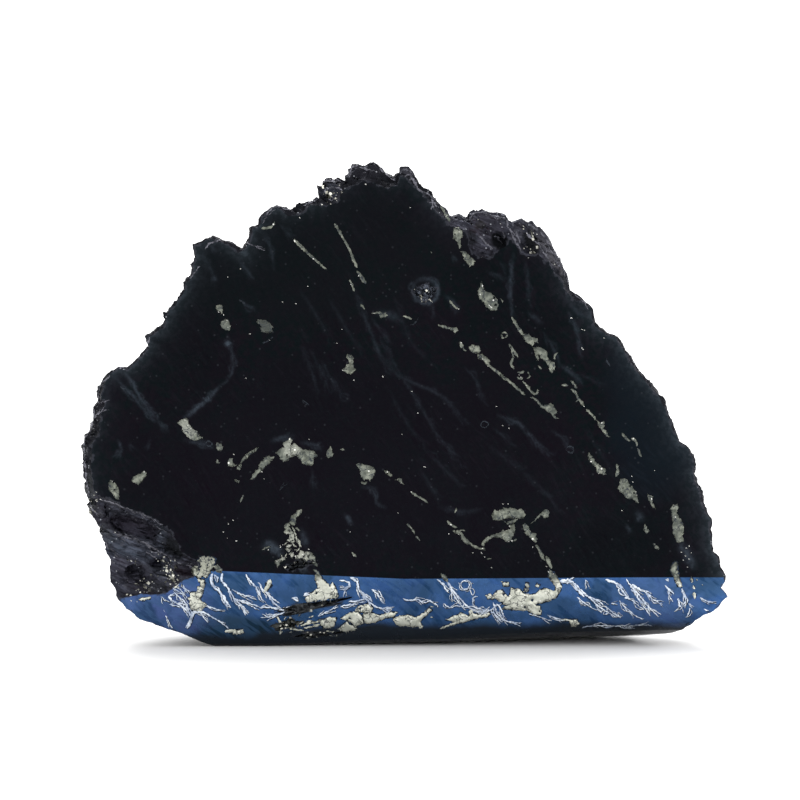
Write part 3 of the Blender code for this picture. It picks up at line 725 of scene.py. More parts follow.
def lay_on_surface():
    """Geometry nodes: drops a flat body along +Y onto a surface, ragged at its outline and a little proud."""
    inputs = {
        "Geometry": ("NodeSocketGeometry", None), "Surface": ("NodeSocketObject", None),
        "Rough Surface": ("NodeSocketObject", None), "Ragged": (FLOAT, 0.3 * MM),
        "Ragged Size": (FLOAT, 0.7 * MM), "Rise": (FLOAT, 0.03 * MM), "Material": ("NodeSocketMaterial", None),
    }
    tree, g, given, out = new_group("lay_on_surface", "GeometryNodeTree", inputs, {"Geometry": "NodeSocketGeometry"})
    where = g.node("GeometryNodeInputPosition").outputs[0]
    scale = g.math("DIVIDE", 1.0, given["Ragged Size"])
    wave = g.vector("SUBTRACT", g.noise(where, scale, 2.0, 0.65).outputs["Color"], (0.5, 0.5, 0.5))
    cell = g.node("ShaderNodeTexVoronoi", {"Vector": where, "Scale": g.math("MULTIPLY", scale, 1.3)}).outputs["Color"]
    wave = g.vector("ADD", wave, g.vector("MULTIPLY", g.vector("SUBTRACT", cell, (0.5, 0.5, 0.5)), (0.35, 0.0, 0.35)))
    push = g.node("ShaderNodeVectorMath", {0: g.vector("MULTIPLY", wave, (2.0, 0.0, 2.0))}, operation="SCALE")
    g.feed(push.inputs["Scale"], given["Ragged"])
    flat = g.vector("ADD", g.vector("MULTIPLY", where, (1.0, 0.0, 1.0)), push.outputs[0])
    below = g.node("GeometryNodeJoinGeometry")
    for name in ("Surface", "Rough Surface"):
        g.feed(below.inputs[0], g.node("GeometryNodeObjectInfo", {"Object": given[name]}).outputs["Geometry"])
    hit = g.node("GeometryNodeRaycast", {
        "Target Geometry": below.outputs[0],
        "Source Position": g.vector("ADD", flat, (0.0, -0.1, 0.0)), "Ray Direction": (0.0, 1.0, 0.0), "Ray Length": 0.2,
    }).outputs
    missed = g.node("FunctionNodeBooleanMath", {0: hit["Is Hit"]}, operation="NOT").outputs[0]
    kept = g.node("GeometryNodeDeleteGeometry", {"Geometry": given["Geometry"], "Selection": missed}).outputs[0]
    depth = g.node("ShaderNodeSeparateXYZ", {0: hit["Hit Position"]}).outputs[1]
    local = g.node("ShaderNodeSeparateXYZ", {0: where}).outputs[1]
    side = g.math("MAXIMUM", g.math("MINIMUM", g.math("DIVIDE", local, 0.02 * MM), 1.0), -1.0)
    height = g.math("ADD", depth, g.math("MULTIPLY", side, given["Rise"]))
    landed = g.vector("ADD", flat, g.node("ShaderNodeCombineXYZ", {1: height}).outputs[0])
    laid = g.node("GeometryNodeSetPosition", {"Geometry": kept, "Position": landed}).outputs[0]
    real = g.node("GeometryNodeRealizeInstances", {"Geometry": laid}).outputs[0]
    g.feed(out["Geometry"], g.node("GeometryNodeSetMaterial", {"Geometry": real, "Material": given["Material"]}).outputs[0])
    return tree


def threads(laying):
    """Geometry nodes: gives flat paths a width that swells and thins, and lays them on a surface."""
    inputs = {
        "Geometry": ("NodeSocketGeometry", None), "Surface": ("NodeSocketObject", None),
        "Rough Surface": ("NodeSocketObject", None), "Step": (FLOAT, 0.14 * MM), "Swell": (FLOAT, 0.5),
        "Swell Size": (FLOAT, 0.6 * MM), "Ragged": (FLOAT, 0.3 * MM), "Ragged Size": (FLOAT, 0.7 * MM),
        "Rise": (FLOAT, 0.03 * MM), "Material": ("NodeSocketMaterial", None),
    }
    tree, g, given, out = new_group("mineral_threads", "GeometryNodeTree", inputs, {"Geometry": "NodeSocketGeometry"})
    even = g.node("GeometryNodeResampleCurve", {"Curve": given["Geometry"]}, mode="LENGTH")
    g.feed(even.inputs["Length"], given["Step"])
    where = g.node("GeometryNodeInputPosition").outputs[0]
    uneven = g.noise(where, g.math("DIVIDE", 1.0, given["Swell Size"]), 2.0, 0.6).outputs[0]
    swell = g.math("ADD", 1.0, g.math("MULTIPLY", g.math("SUBTRACT", uneven, 0.5), g.math("MULTIPLY", given["Swell"], 3.0)))
    width = g.math("MULTIPLY", g.node("GeometryNodeInputRadius").outputs[0], g.math("MAXIMUM", swell, 0.12))
    ring = g.node("GeometryNodeCurvePrimitiveCircle", {"Resolution": 8, "Radius": 1.0}).outputs[0]
    tube = g.node("GeometryNodeCurveToMesh", {
        "Curve": even.outputs[0], "Profile Curve": ring, "Scale": width, "Fill Caps": True,
    }).outputs[0]
    names = ("Surface", "Rough Surface", "Ragged", "Ragged Size", "Rise", "Material")
    laid = g.group(laying, Geometry=tube, **{name.replace(" ", "_"): given[name] for name in names})
    g.feed(out["Geometry"], laid.outputs[0])
    return tree


def grown(source, tree, name, **values):
    """The plain mesh piece that a geometry node tree makes of source, with named input values."""
    modifier = source.modifiers.new(tree.name, "NODES")
    modifier.node_group = tree
    for item in tree.interface.items_tree:
        key = item.name.replace(" ", "_")
        if item.item_type == "SOCKET" and item.in_out == "INPUT" and key in values:
            modifier[item.identifier] = values[key]
    source.update_tag()
    bpy.context.view_layer.update()
    graph = bpy.context.evaluated_depsgraph_get()
    mesh = bpy.data.meshes.new_from_object(source.evaluated_get(graph), depsgraph=graph)
    mesh.name = name
    bpy.data.objects.remove(source)
    piece = bpy.data.objects.new(name, mesh)
    bpy.context.scene.collection.objects.link(piece)
    return piece


def hand_over(piece, stands_for_stone=True):
    """Gives a finished piece to the frame."""
    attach(piece, "root")
    if stands_for_stone:
        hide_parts(NODE)
    return piece


# Where the pyrite grains of the natural front lie thickest: centre in pixels, radius in millimetres, share
GRAIN_SPOTS = [
    ((169, 577), 1.2, 1.5), ((143, 590), 1.4, 0.9), ((164, 567), 1.0, 1.2), ((131, 563), 0.7, 0.5),
    ((176, 585), 0.9, 1.3), ((103, 532), 1.2, 0.3),
    ((527, 234), 1.1, 0.5), ((530, 252), 0.9, 0.6), ((90, 500), 1.3, 0.4), ((88, 515), 1.0, 0.4),
    ((330, 197), 1.4, 0.5), ((285, 628), 2.4, 0.5), ((318, 635), 3.0, 0.3), ((425, 293), 1.5, 0.6),
]


def scattered_grains():
    """Geometry nodes: small cube crystals strewn over a surface, as thick as its grains attribute says."""
    inputs = {
        "Geometry": ("NodeSocketGeometry", None), "Most": (FLOAT, 3e6), "Smallest": (FLOAT, 0.16 * MM),
        "Largest": (FLOAT, 0.55 * MM), "Seed": ("NodeSocketInt", 4), "Material": ("NodeSocketMaterial", None),
    }
    tree, g, given, out = new_group("scattered_grains", "GeometryNodeTree", inputs, {"Geometry": "NodeSocketGeometry"})
    share = g.node("GeometryNodeInputNamedAttribute", {"Name": "grains"}, data_type="FLOAT").outputs[0]
    points = g.node("GeometryNodeDistributePointsOnFaces", {
        "Mesh": given["Geometry"], "Density": g.math("MULTIPLY", share, given["Most"]), "Seed": given["Seed"],
    }).outputs["Points"]
    chance = g.node("FunctionNodeRandomValue", {2: 0.0, 3: 1.0, "Seed": given["Seed"]}, data_type="FLOAT").outputs[1]
    spread = g.math("SUBTRACT", given["Largest"], given["Smallest"])
    size = g.math("ADD", given["Smallest"], g.math("MULTIPLY", spread, g.math("POWER", chance, 4.0)))
    turns = {0: (0.0, 0.0, 0.0), 1: (math.tau, math.tau, math.tau), "Seed": given["Seed"]}
    turn = g.node("FunctionNodeRandomValue", turns, data_type="FLOAT_VECTOR").outputs[0]
    cube = g.node("GeometryNodeMeshCube", {"Size": (1.0, 1.0, 0.8)}).outputs["Mesh"]
    strewn = g.node("GeometryNodeInstanceOnPoints", {
        "Points": points, "Instance": cube, "Rotation": turn, "Scale": size,
    }).outputs[0]
    real = g.node("GeometryNodeRealizeInstances", {"Geometry": strewn}).outputs[0]
    g.feed(out["Geometry"], g.node("GeometryNodeSetMaterial", {"Geometry": real, "Material": given["Material"]}).outputs[0])
    return tree


def make_grains(shell):
    """Pyrite grains in the natural surface: in the clusters of the front, and thinly over the rest."""
    ground = bpy.data.objects.new("grain_ground", shell.data.copy())
    bpy.context.scene.collection.objects.link(ground)
    shares = []
    for vert in ground.data.vertices:
        here = vert.co
        patchy = 1.1 * noise.noise(here * 45) + noise.noise(here * 130) + 0.6 * noise.noise(here * 420)
        share = 0.45 * max(0.0, patchy - 0.68)
        if here.y < FRONT + 9 * MM:
            for centre, radius, most in GRAIN_SPOTS:
                x, z = place(*centre)
                far = ((here.x - x) ** 2 + (here.z - z) ** 2) / (radius * MM) ** 2
                share = max(share, most * math.exp(-far))
        shares.append(share)
    store(ground.data, "grains", shares)
    grains = grown(ground, scattered_grains(), "pyrite_grains", Material=pyrite_grain())
    return hand_over(grains, stands_for_stone=False)


def make_stone():
    regions, outline = stone_regions()
    edge = rim_tree(regions["polished"])
    veins = [place(*point) for row in SOFT_VEINS for point in smooth_path(row[0])]
    vein_tree = kdtree.KDTree(len(veins))
    for i, (x, z) in enumerate(veins):
        vein_tree.insert((x, FRONT, z), i)
    vein_tree.balance()

    def face_step(point):
        near_rim = max(rim_step(point), 0.35 * edge.find(point)[2])
        return min(1.4 * MM, near_rim, max(0.3 * MM, 0.6 * vein_tree.find(point)[2]))

    refine(regions["polished"], face_step)
    refine(regions["natural"], rim_step)
    away = {name: distances(regions[name], rim_tree(regions[name])) for name in ("polished", "natural")}
    for name, far in away.items():
        rough_rim(regions[name], far)

    polished = to_piece(regions["polished"], "polished_face", polished_covellite(), 40)
    store(polished.data, "rim", closeness(away["polished"], 1.0 * MM))
    # Closeness to the outline, which drives the painted glare of the face
    from_outline = [outline.find((v.co.x, 0.0, v.co.z))[2] for v in polished.data.vertices]
    store(polished.data, "outline", closeness(from_outline, 8 * MM))
    store(polished.data, "veins", vein_strength(polished.data))
    sawn = to_piece(regions["sawn"], "sawn_base", sawn_covellite(), 40)

    material = natural_covellite()
    rough = to_piece(regions["natural"], "natural_rough", material, 180)
    store(rough.data, "rim", closeness(away["natural"], 1.0 * MM))
    store(rough.data, "free", [min(1.0, distance / (0.9 * MM)) for distance in away["natural"]])
    store(rough.data, "fine", [1.0 if v.co.y < FRONT + 5 * MM else 0.0 for v in rough.data.vertices])
    shell = grown(
        rough, foliated_relief(), "natural_shell", Ledge_Height=0.55 * MM, Ledge_Pitch=2.2 * MM,
        Grain_Height=0.3 * MM, Grain_Size=1.1 * MM, Tilt=math.radians(-25), Material=material,
    )
    shell.data.shade_smooth()
    shell.data.set_sharp_from_angle(angle=math.radians(55))
    return [hand_over(piece) for piece in (polished, sawn, shell)]


# Pyrite and veins in the polished face

# Outlines of the larger bodies of pyrite on the dark face, in photograph pixels
FACE_PATCHES = [
    [(108, 484), (110, 480), (114, 483), (118, 487), (119, 493), (118, 500), (116, 499), (112, 494), (108, 489)],
    [(131, 480), (133, 477), (140, 474), (144, 471), (147, 474), (142, 480), (139, 484), (134, 483)],
    [(190, 571), (193, 567), (197, 566), (196, 571), (199, 574), (195, 577), (191, 574)],
    [(213, 566), (217, 565), (222, 570), (221, 574), (216, 572)],
    [(216, 306), (219, 304), (222, 305), (223, 309), (222, 314), (220, 311), (216, 309)],
    [(221, 322), (225, 319), (229, 320), (231, 326), (229, 331), (226, 330), (222, 329), (221, 326)],
    [(256, 322), (259, 320), (266, 320), (270, 323), (273, 327), (272, 333), (268, 333), (262, 332),
     (260, 328), (262, 326), (258, 324)],
    [(346, 357), (348, 354), (351, 355), (354, 358), (353, 363), (354, 367), (356, 370), (353, 373),
     (350, 375), (346, 373), (342, 370), (345, 367), (347, 364), (350, 363), (348, 360)],
    [(372, 313), (379, 312), (386, 313), (388, 315), (385, 318), (381, 318), (379, 314), (373, 314)],
    [(356, 465), (358, 463), (361, 464), (368, 465), (373, 467), (376, 472), (374, 474), (372, 479),
     (370, 481), (367, 480), (363, 480), (361, 475), (359, 469), (357, 467)],
    [(383, 471), (387, 470), (392, 475), (391, 477), (387, 474)],
    [(395, 480), (401, 478), (402, 481), (404, 485), (401, 484), (399, 481)],
    [(177, 423), (182, 419), (187, 418), (189, 424), (193, 429), (197, 431), (199, 436), (203, 438),
     (199, 440), (193, 441), (188, 437), (183, 432), (182, 427), (179, 424)],
    [(216, 443), (221, 444), (223, 447), (221, 451), (218, 450), (216, 446)],
    [(215, 463), (217, 460), (220, 461), (219, 464)],
    [(227, 462), (230, 458), (233, 458), (232, 462), (236, 466), (233, 467), (228, 466)],
    [(237, 466), (241, 464), (240, 470), (237, 470)],
    [(240, 463), (243, 457), (248, 453), (254, 449), (259, 447), (256, 451), (250, 455), (245, 460),
     (241, 463)],
    [(235, 480), (240, 480), (239, 483), (235, 483)],
    [(250, 480), (253, 474), (258, 469), (260, 463), (264, 458), (269, 456), (274, 457), (270, 462),
     (266, 466), (262, 470), (257, 476), (252, 480)],
    [(275, 453), (279, 449), (284, 448), (283, 443), (288, 440), (291, 437), (292, 442), (290, 446),
     (294, 443), (299, 447), (303, 450), (309, 450), (315, 452), (317, 456), (313, 460), (313, 465),
     (308, 466), (303, 464), (300, 459), (296, 455), (291, 457), (288, 461), (283, 462), (280, 459),
     (279, 455)],
    [(326, 453), (329, 449), (331, 446), (332, 451), (334, 454), (331, 458), (327, 457)],
    [(300, 509.5), (302, 511.5), (300.5, 514), (299, 516), (296.5, 518), (296, 521), (295, 524), (294, 526.5),
     (292, 526), (290, 524), (289, 522.5), (290, 519), (291, 516), (293, 515), (295, 513), (297, 511)],
    [(289, 522.5), (286, 524), (284, 526), (284.5, 528.5), (285, 530), (283, 532), (284, 533.5), (286, 534.5),
     (288, 534), (289, 536.5), (289, 539), (287.5, 541.5), (289, 542.5), (292, 543), (295, 542), (294, 539),
     (294, 535), (292.5, 532), (290.5, 529), (289, 526)],
    [(292, 526.5), (294, 529), (295, 532), (296, 536), (297.5, 539.5), (300.5, 541), (300, 544), (301, 547.5),
     (299.5, 547), (298, 543.5), (296, 541), (295, 537), (294, 533), (292.5, 529)],
    [(295.5, 527), (297.5, 528), (299.3, 530), (298, 531), (296, 529)],
    [(284.5, 549.5), (288, 549), (290, 550), (290.5, 552), (288.5, 553), (286.5, 552)],
    [(286.5, 545.5), (289, 544.8), (291.8, 545.6), (290.5, 547.2), (288, 548), (286.5, 547.5)],
    [(292, 552.3), (293.6, 553), (293, 556), (292, 557.7), (290.5, 557), (289.5, 555.5), (288, 555), (289, 553.7)],
    [(280.5, 554), (282, 556), (283, 558), (284.5, 559.5), (283, 560.5), (281, 562.5), (279, 565),
     (277.5, 568), (276.5, 567), (276, 564.5), (274.3, 564), (274.2, 562), (276, 560.5), (279, 560),
     (281, 559), (281.5, 557.5), (280, 555.5)],
    [(294, 557), (296, 556.5), (298, 556), (299, 554), (300, 551.5), (301, 550), (302.5, 551), (303.5, 553),
     (306, 552.5), (307.5, 551.5), (309, 551.5), (311, 553), (313, 555), (315, 557), (315.5, 560), (315, 562),
     (317, 564.5), (318, 566), (316.5, 567), (314, 566), (312, 564), (311, 561.5), (309, 560.5), (306, 561.5),
     (303, 561.5), (300, 560), (297, 559), (295, 558)],
    [(492, 518), (493, 512), (495, 510), (500, 511), (504, 508), (508, 509), (514, 508), (518, 510),
     (521, 508), (524, 511), (526, 515), (524, 518), (520, 519), (517, 518), (513, 519), (508, 518),
     (504, 520), (498, 521), (493, 520)],
    [(504, 521), (509, 522), (515, 520), (519, 518), (515, 523), (508, 525)],
    [(510, 525), (514, 524), (515, 530), (513, 536), (511, 541), (507, 543), (503, 539), (499, 538),
     (494, 537), (489, 540), (485, 544), (484, 547), (481, 545), (484, 540), (489, 537), (495, 534),
     (500, 533), (504, 531), (510, 530)],
    [(522, 525), (525, 523), (529, 528), (532, 533), (536, 534), (538, 540), (536, 543), (533, 541),
     (530, 537), (526, 535), (524, 530)],
    [(530, 525), (535, 520), (539, 515), (543, 511), (547, 509), (550, 512), (548, 517), (545, 518),
     (541, 516), (537, 519), (533, 523)],
    [(453, 531), (458, 530), (461, 532), (466, 538), (470, 542), (473, 545), (479, 548), (484, 548),
     (486, 551), (482, 551), (476, 549), (471, 545), (465, 544), (462, 540), (460, 535), (456, 534)],
    [(453, 229), (458, 227), (462, 231), (463, 236), (460, 240), (461, 244), (459, 249), (458, 244),
     (456, 241), (453, 238)],
    [(461, 251), (465, 252), (469, 256), (473, 259), (475, 262), (473, 265), (470, 267), (466, 263),
     (463, 257)],
    [(481, 281), (482, 285), (484, 290), (488, 292), (493, 295), (496, 298), (498, 300), (498, 306),
     (496, 311), (491, 311), (487, 308), (484, 303), (480, 299), (478, 294), (478, 290), (480, 287)],
    [(450, 328), (457, 327), (458, 330), (455, 333), (451, 330)],
    [(469, 347), (472, 345), (479, 346), (481, 350), (479, 353), (474, 353), (470, 350)],
    [(477, 354), (482, 354), (487, 358), (490, 361), (488, 366), (485, 362), (479, 358)],
    [(530, 397), (534, 397), (540, 402), (543, 405), (548, 405), (551, 403), (555, 408), (557, 413),
     (554, 415), (558, 419), (555, 419), (550, 413), (545, 410), (541, 407), (536, 401)],
    [(522, 334), (528, 334), (531, 337), (537, 339), (538, 342), (535, 343), (532, 346), (529, 344),
     (525, 342)],
    [(532, 347), (540, 347), (546, 351), (548, 357), (549, 360), (554, 363), (555, 368), (552, 373),
     (549, 370), (546, 362), (541, 358), (538, 354), (539, 360), (537, 360), (535, 353), (533, 349)],
    [(597, 420), (601, 423), (604, 421), (605, 425), (603, 428), (606, 431), (608, 435), (610, 438),
     (606, 436), (602, 430), (598, 425)],
    [(589, 453), (592, 457), (596, 463), (600, 465), (604, 468), (607, 471), (605, 473), (607, 475),
     (602, 474), (598, 473), (596, 468), (592, 464), (589, 458)],
    [(620, 479), (627, 479), (630, 484), (633, 488), (636, 492), (638, 497), (639, 503), (636, 502),
     (634, 499), (629, 499), (623, 494), (618, 489), (620, 484)],
    [(647, 493), (650, 496), (653, 496), (652, 501), (655, 506), (656, 510), (653, 508), (650, 501)],
    [(645, 524), (647, 528), (650, 531), (647, 534), (644, 530)],
    [(654, 543), (657, 545), (660, 550), (656, 549), (653, 545)],
    [(671, 509), (674, 505), (678, 504), (679, 508), (677, 513), (679, 518), (683, 523), (685, 527),
     (684, 532), (683, 536), (685, 541), (681, 543), (677, 542), (675, 537), (673, 530), (673, 521),
     (672, 514)],
]

# The same in the band along the bottom
BAND_PATCHES = [
    [(197.5, 560.5), (199.5, 559), (200, 557.2), (203, 556.8), (206, 557.8), (208, 557), (211, 557.5),
     (214, 558), (215.3, 560), (215, 563), (213.5, 565), (213, 567.5), (211.5, 568.5), (210, 571),
     (210.3, 573), (208, 574.5), (207, 577), (205, 579), (203.5, 578), (202.5, 576), (200, 578),
     (197.5, 578.3), (195.8, 576.5), (194.8, 574), (196, 571.5), (198, 570), (198.5, 568.5), (201, 568),
     (200.5, 566.5), (199.5, 564.5), (200, 562.5), (198.5, 562)],
    [(199, 579.5), (197.5, 580), (197.5, 582), (199.2, 583), (200, 586), (199, 588), (197.8, 587), (197, 588),
     (197, 590.5), (196, 593), (193, 593.8), (189.5, 594), (189.8, 597), (187, 600), (189, 602), (189, 606),
     (189.3, 610), (191.5, 611.5), (195, 612.5), (199, 613.5), (201, 612), (199.5, 610.5), (202, 609.8),
     (205, 608), (205.5, 605.5), (204, 604), (202, 604.2), (200.5, 602.5), (199.5, 600.5), (201, 597),
     (202.5, 592.5), (203, 589), (204.2, 587), (203.8, 583), (203.5, 580.5), (201.5, 580.5)],
    [(305, 600), (309, 596), (313, 592), (318, 590), (316, 583), (315, 576), (318, 574), (321, 579),
     (323, 580), (328, 585), (330, 588), (332, 583), (336, 590), (338, 597), (335, 602), (330, 604),
     (322, 603), (315, 606), (308, 605)],
    [(318, 622), (325, 621), (330, 619), (336, 620), (334, 628), (330, 631), (325, 631), (320, 627)],
    [(355, 613), (358, 608), (364, 606), (368, 605), (373, 610), (371, 614), (365, 614)],
    [(340, 621), (345, 618), (350, 614), (357, 614), (362, 618), (363, 626), (355, 629), (350, 624),
     (346, 622)],
    [(363, 616), (372, 615), (380, 617), (388, 614), (397, 614), (393, 619), (385, 620), (378, 623),
     (370, 626), (364, 625)],
    [(393, 621), (400, 618), (410, 617), (416, 620), (422, 616), (430, 609), (432, 612), (425, 618),
     (420, 624), (423, 631), (412, 629), (397, 628)],
    [(446, 622), (452, 619), (458, 617), (461, 614), (464, 616), (470, 618), (469, 613), (471, 611),
     (474, 616), (484, 617), (488, 614), (491, 616), (487, 619), (478, 620), (466, 624), (458, 626),
     (441, 632), (440, 631), (448, 627), (456, 624)],
    [(486, 597), (490, 595), (493, 597), (497, 592), (503, 591), (506, 596), (509, 598), (511, 589),
     (520, 590), (525, 595), (530, 596), (536, 595), (540, 591), (547, 589), (552, 592), (556, 592),
     (556, 586), (552, 582), (549, 577), (550, 570), (556, 575), (560, 583), (562, 587), (560, 594),
     (557, 598), (550, 602), (542, 604), (536, 606), (540, 608), (542, 613), (541, 617), (535, 617),
     (528, 612), (520, 612), (510, 611), (502, 610), (508, 607), (503, 605), (497, 600), (488, 600)],
    [(503, 583), (509, 583), (509, 587), (504, 587)],
    [(526, 584), (529, 584), (529, 588), (526, 588)],
    [(525, 589), (529, 590), (528, 593), (524, 592)],
    [(537, 584), (540, 585), (539, 588), (536, 587)],
    [(571, 622), (578, 622), (580, 627), (576, 630), (571, 629)],
    [(232, 633), (242, 632), (243, 636), (233, 637)],
    [(337, 632), (343, 627), (347, 624), (351, 628), (356, 630), (355, 633), (345, 636)],
    [(326, 633), (335, 635), (338, 639), (330, 639)],
    [(675, 562), (678, 563), (678, 570), (680, 577), (681, 582), (683, 588), (679, 587), (676, 581),
     (673, 575), (671, 570)],
]

# Dark openings in those bodies: centre and radius in pixels
OPENINGS = [
    (504, 595, 1.6), (502, 604, 1.5), (526, 609, 1.8), (540, 613, 1.5), (533, 602, 1.6), (360, 610, 1.5),
    (316, 594, 1.2), (350, 620, 1.2), (494, 298, 1.3), (495, 305, 1.5), (289, 531, 0.8), (291, 538, 0.9),
    (304, 557, 0.9), (308, 557, 0.8), (292.5, 541, 0.6), (509, 512, 0.8),
    (630, 486, 1.3), (634, 493, 1.2), (287, 455, 1.0), (455, 235, 1.0), (210.5, 560, 1.0), (206.5, 565.5, 0.8),
    (208.3, 567.5, 0.8), (203, 574.5, 0.6), (205, 576, 0.7), (197.5, 610.8, 0.7), (114, 490, 1.2),
]

# Narrow bodies of pyrite: path in pixels, and its width in pixels at the start and the end
PYRITE_THREADS = [
    ([(294, 240), (312, 257), (327, 270)], 3.4, 2), ([(335, 224), (348, 247), (357, 268)], 2.6, 2.6),
    ([(357, 271), (366, 284)], 4, 4), ([(350, 280), (354, 291)], 2.4, 2.4),
    ([(361, 304), (364, 309)], 2.6, 2.2), ([(403, 316), (407, 317), (412, 319)], 2, 2),
    ([(438, 325), (445, 327), (451, 329)], 2, 3), ([(460, 342), (463, 349)], 3, 3),
    ([(462, 348), (466, 351)], 2.6, 2.6),
    ([(488, 365), (495, 370), (502, 376), (510, 382), (519, 390), (525, 395)], 3, 2),
    ([(500, 374), (506, 380)], 3.6, 3.2),
    ([(502, 333), (505, 332), (507, 335), (505, 338), (502, 337), (501, 334)], 1.5, 1.5),
    ([(509, 344), (513, 350), (518, 357)], 2.6, 2.6), ([(511, 346), (512, 353), (514, 357)], 1.8, 1.8),
    ([(513, 358), (511, 364), (514, 369)], 3, 2.2), ([(517, 372), (521, 373), (524, 371)], 2.4, 2),
    ([(517, 377), (520, 379), (523, 378)], 2, 2), ([(527, 372), (530, 376), (527, 378)], 1.8, 1.8),
    ([(523, 381), (526, 385), (530, 390)], 3, 2.6),
    ([(530, 391), (535, 394), (538, 392), (537, 389)], 2.6, 2), ([(531, 398), (533, 397)], 2, 2),
    ([(512, 317), (515, 323), (519, 329), (523, 335)], 2.4, 3.6), ([(538, 366), (541, 369)], 2, 2),
    ([(554, 360), (555, 355), (558, 353)], 2.4, 2), ([(562, 385), (568, 385)], 2.4, 2.4),
    ([(571, 381), (575, 385), (577, 389)], 2.2, 2.2),
    ([(571, 389), (575, 392), (578, 398), (582, 403), (584, 406)], 2.6, 2.6),
    ([(586, 409), (592, 415), (596, 420)], 2.4, 2.4), ([(622, 433), (626, 438), (630, 441)], 2.6, 2.6),
    ([(631, 438), (636, 441), (637, 446)], 3, 2.4), ([(638, 448), (641, 457)], 2.4, 2),
    ([(617, 464), (618, 471), (616, 477)], 2.6, 3.4), ([(500, 299), (503, 303)], 1.6, 1.6),
    ([(449, 300), (455, 307), (459, 309)], 1.4, 2), ([(441, 208), (450, 222)], 2, 3),
    ([(430, 252), (432, 253)], 3, 3), ([(262, 229), (272, 227), (275, 222)], 3, 2),
    ([(340, 449), (345, 450)], 2, 1.6), ([(361, 482), (364, 484), (367, 482)], 2.6, 2.6),
    ([(411, 492), (417, 496), (424, 500), (428, 503)], 2, 2),
    ([(407, 524), (411, 528), (415, 534)], 2.2, 2), ([(416, 536), (420, 541)], 2, 2),
    ([(447, 521), (451, 525), (457, 528)], 2.6, 2.6), ([(458, 532), (462, 530), (466, 532)], 1.6, 1.4),
    ([(536, 545), (540, 551), (543, 558), (545, 561)], 3, 3.4),
    ([(546, 556), (549, 562), (552, 569)], 3.4, 3.2), ([(551, 571), (554, 576), (557, 582)], 3, 4.5),
    ([(511, 541), (514, 541), (517, 539)], 2, 2), ([(352, 553), (356, 557)], 2.4, 2),
    ([(457, 508), (455, 513)], 1.6, 1.6), ([(487, 559), (491, 559)], 1.8, 1.8),
    ([(262, 551), (266, 548), (271, 547)], 1.6, 1.6), ([(243, 495), (240, 503)], 2, 2),
    ([(314, 570), (317, 573), (319, 577)], 3, 3), ([(224, 634), (236, 633)], 3, 3),
    ([(138, 601), (150, 599)], 2.5, 3), ([(264, 593), (268, 586), (270, 580)], 4, 5),
    ([(191.5, 571), (193, 569), (195, 567.5), (198, 566.5)], 1.6, 1.6), ([(217, 569.5), (222, 569.3)], 1.2, 1.2),
    ([(212, 571), (213, 572)], 1.8, 1.8), ([(215.5, 571.5), (216.5, 571.5)], 2.2, 2), ([(286.5, 554), (285.5, 557)], 1.6, 1.4),
    ([(296.5, 552.5), (298.5, 549.5), (300, 548)], 1.4, 1.4), ([(284.5, 558), (287, 557.5)], 1.6, 1.4),
    ([(294, 549.5), (296, 550)], 1.4, 1.4), ([(291, 548.5), (290.5, 551)], 1.4, 1.3), ([(302, 554), (305, 557)], 1.2, 1.2),
    ([(292, 543), (294, 546), (296.5, 547)], 1.2, 1.2), ([(284, 544.5), (287, 542.5)], 1.2, 1.2),
    ([(162, 569.5), (165, 571), (167, 573)], 1.8, 1.6), ([(168, 578), (169.5, 579)], 2.6, 2.4),
    ([(169, 585), (170.5, 585.5)], 2.8, 2.4), ([(173, 588), (178, 587.5)], 2.4, 2), ([(180.5, 585), (181.5, 587)], 2.2, 2),
    ([(171, 573.5), (172.5, 574)], 2, 1.8), ([(576, 402), (579, 399)], 1.4, 1.2),
    ([(562, 622), (572, 623)], 2, 2), ([(692, 577), (693, 583)], 2.4, 2),
    ([(694, 586), (695.5, 590)], 2.8, 2.4), ([(695, 593), (696, 600)], 2.8, 2.2),
    ([(697, 580), (698, 581)], 2, 2), ([(703, 585), (704, 586)], 2, 2),
    ([(276, 617), (280, 625), (285, 629), (295, 632), (303, 633)], 2, 2),
    ([(300, 628), (310, 625), (320, 623)], 2, 1.5), ([(305, 630), (318, 628)], 1.5, 2),
    ([(280, 632), (280, 637)], 4, 3), ([(441, 574), (448, 582)], 4, 3), ([(431, 608), (433, 608)], 2, 2),
    ([(431, 619), (433, 619)], 2, 2), ([(501, 582), (503, 582)], 2, 2), 
    ([(318, 575), (322, 582)], 4, 3), ([(299, 626), (303, 624)], 2, 2), ([(306, 624), (311, 622.5)], 2.4, 2),
    ([(313, 626.5), (319, 627.5)], 2.2, 1.6), ([(289, 634.5), (292, 635)], 1.8, 1.6), ([(309, 619.5), (313, 618)], 2.2, 1.8),
    ([(298, 618), (300, 616)], 1.6, 1.6), ([(284, 621), (286, 619)], 1.8, 1.4), ([(303, 630), (307, 631)], 2, 1.6),
]

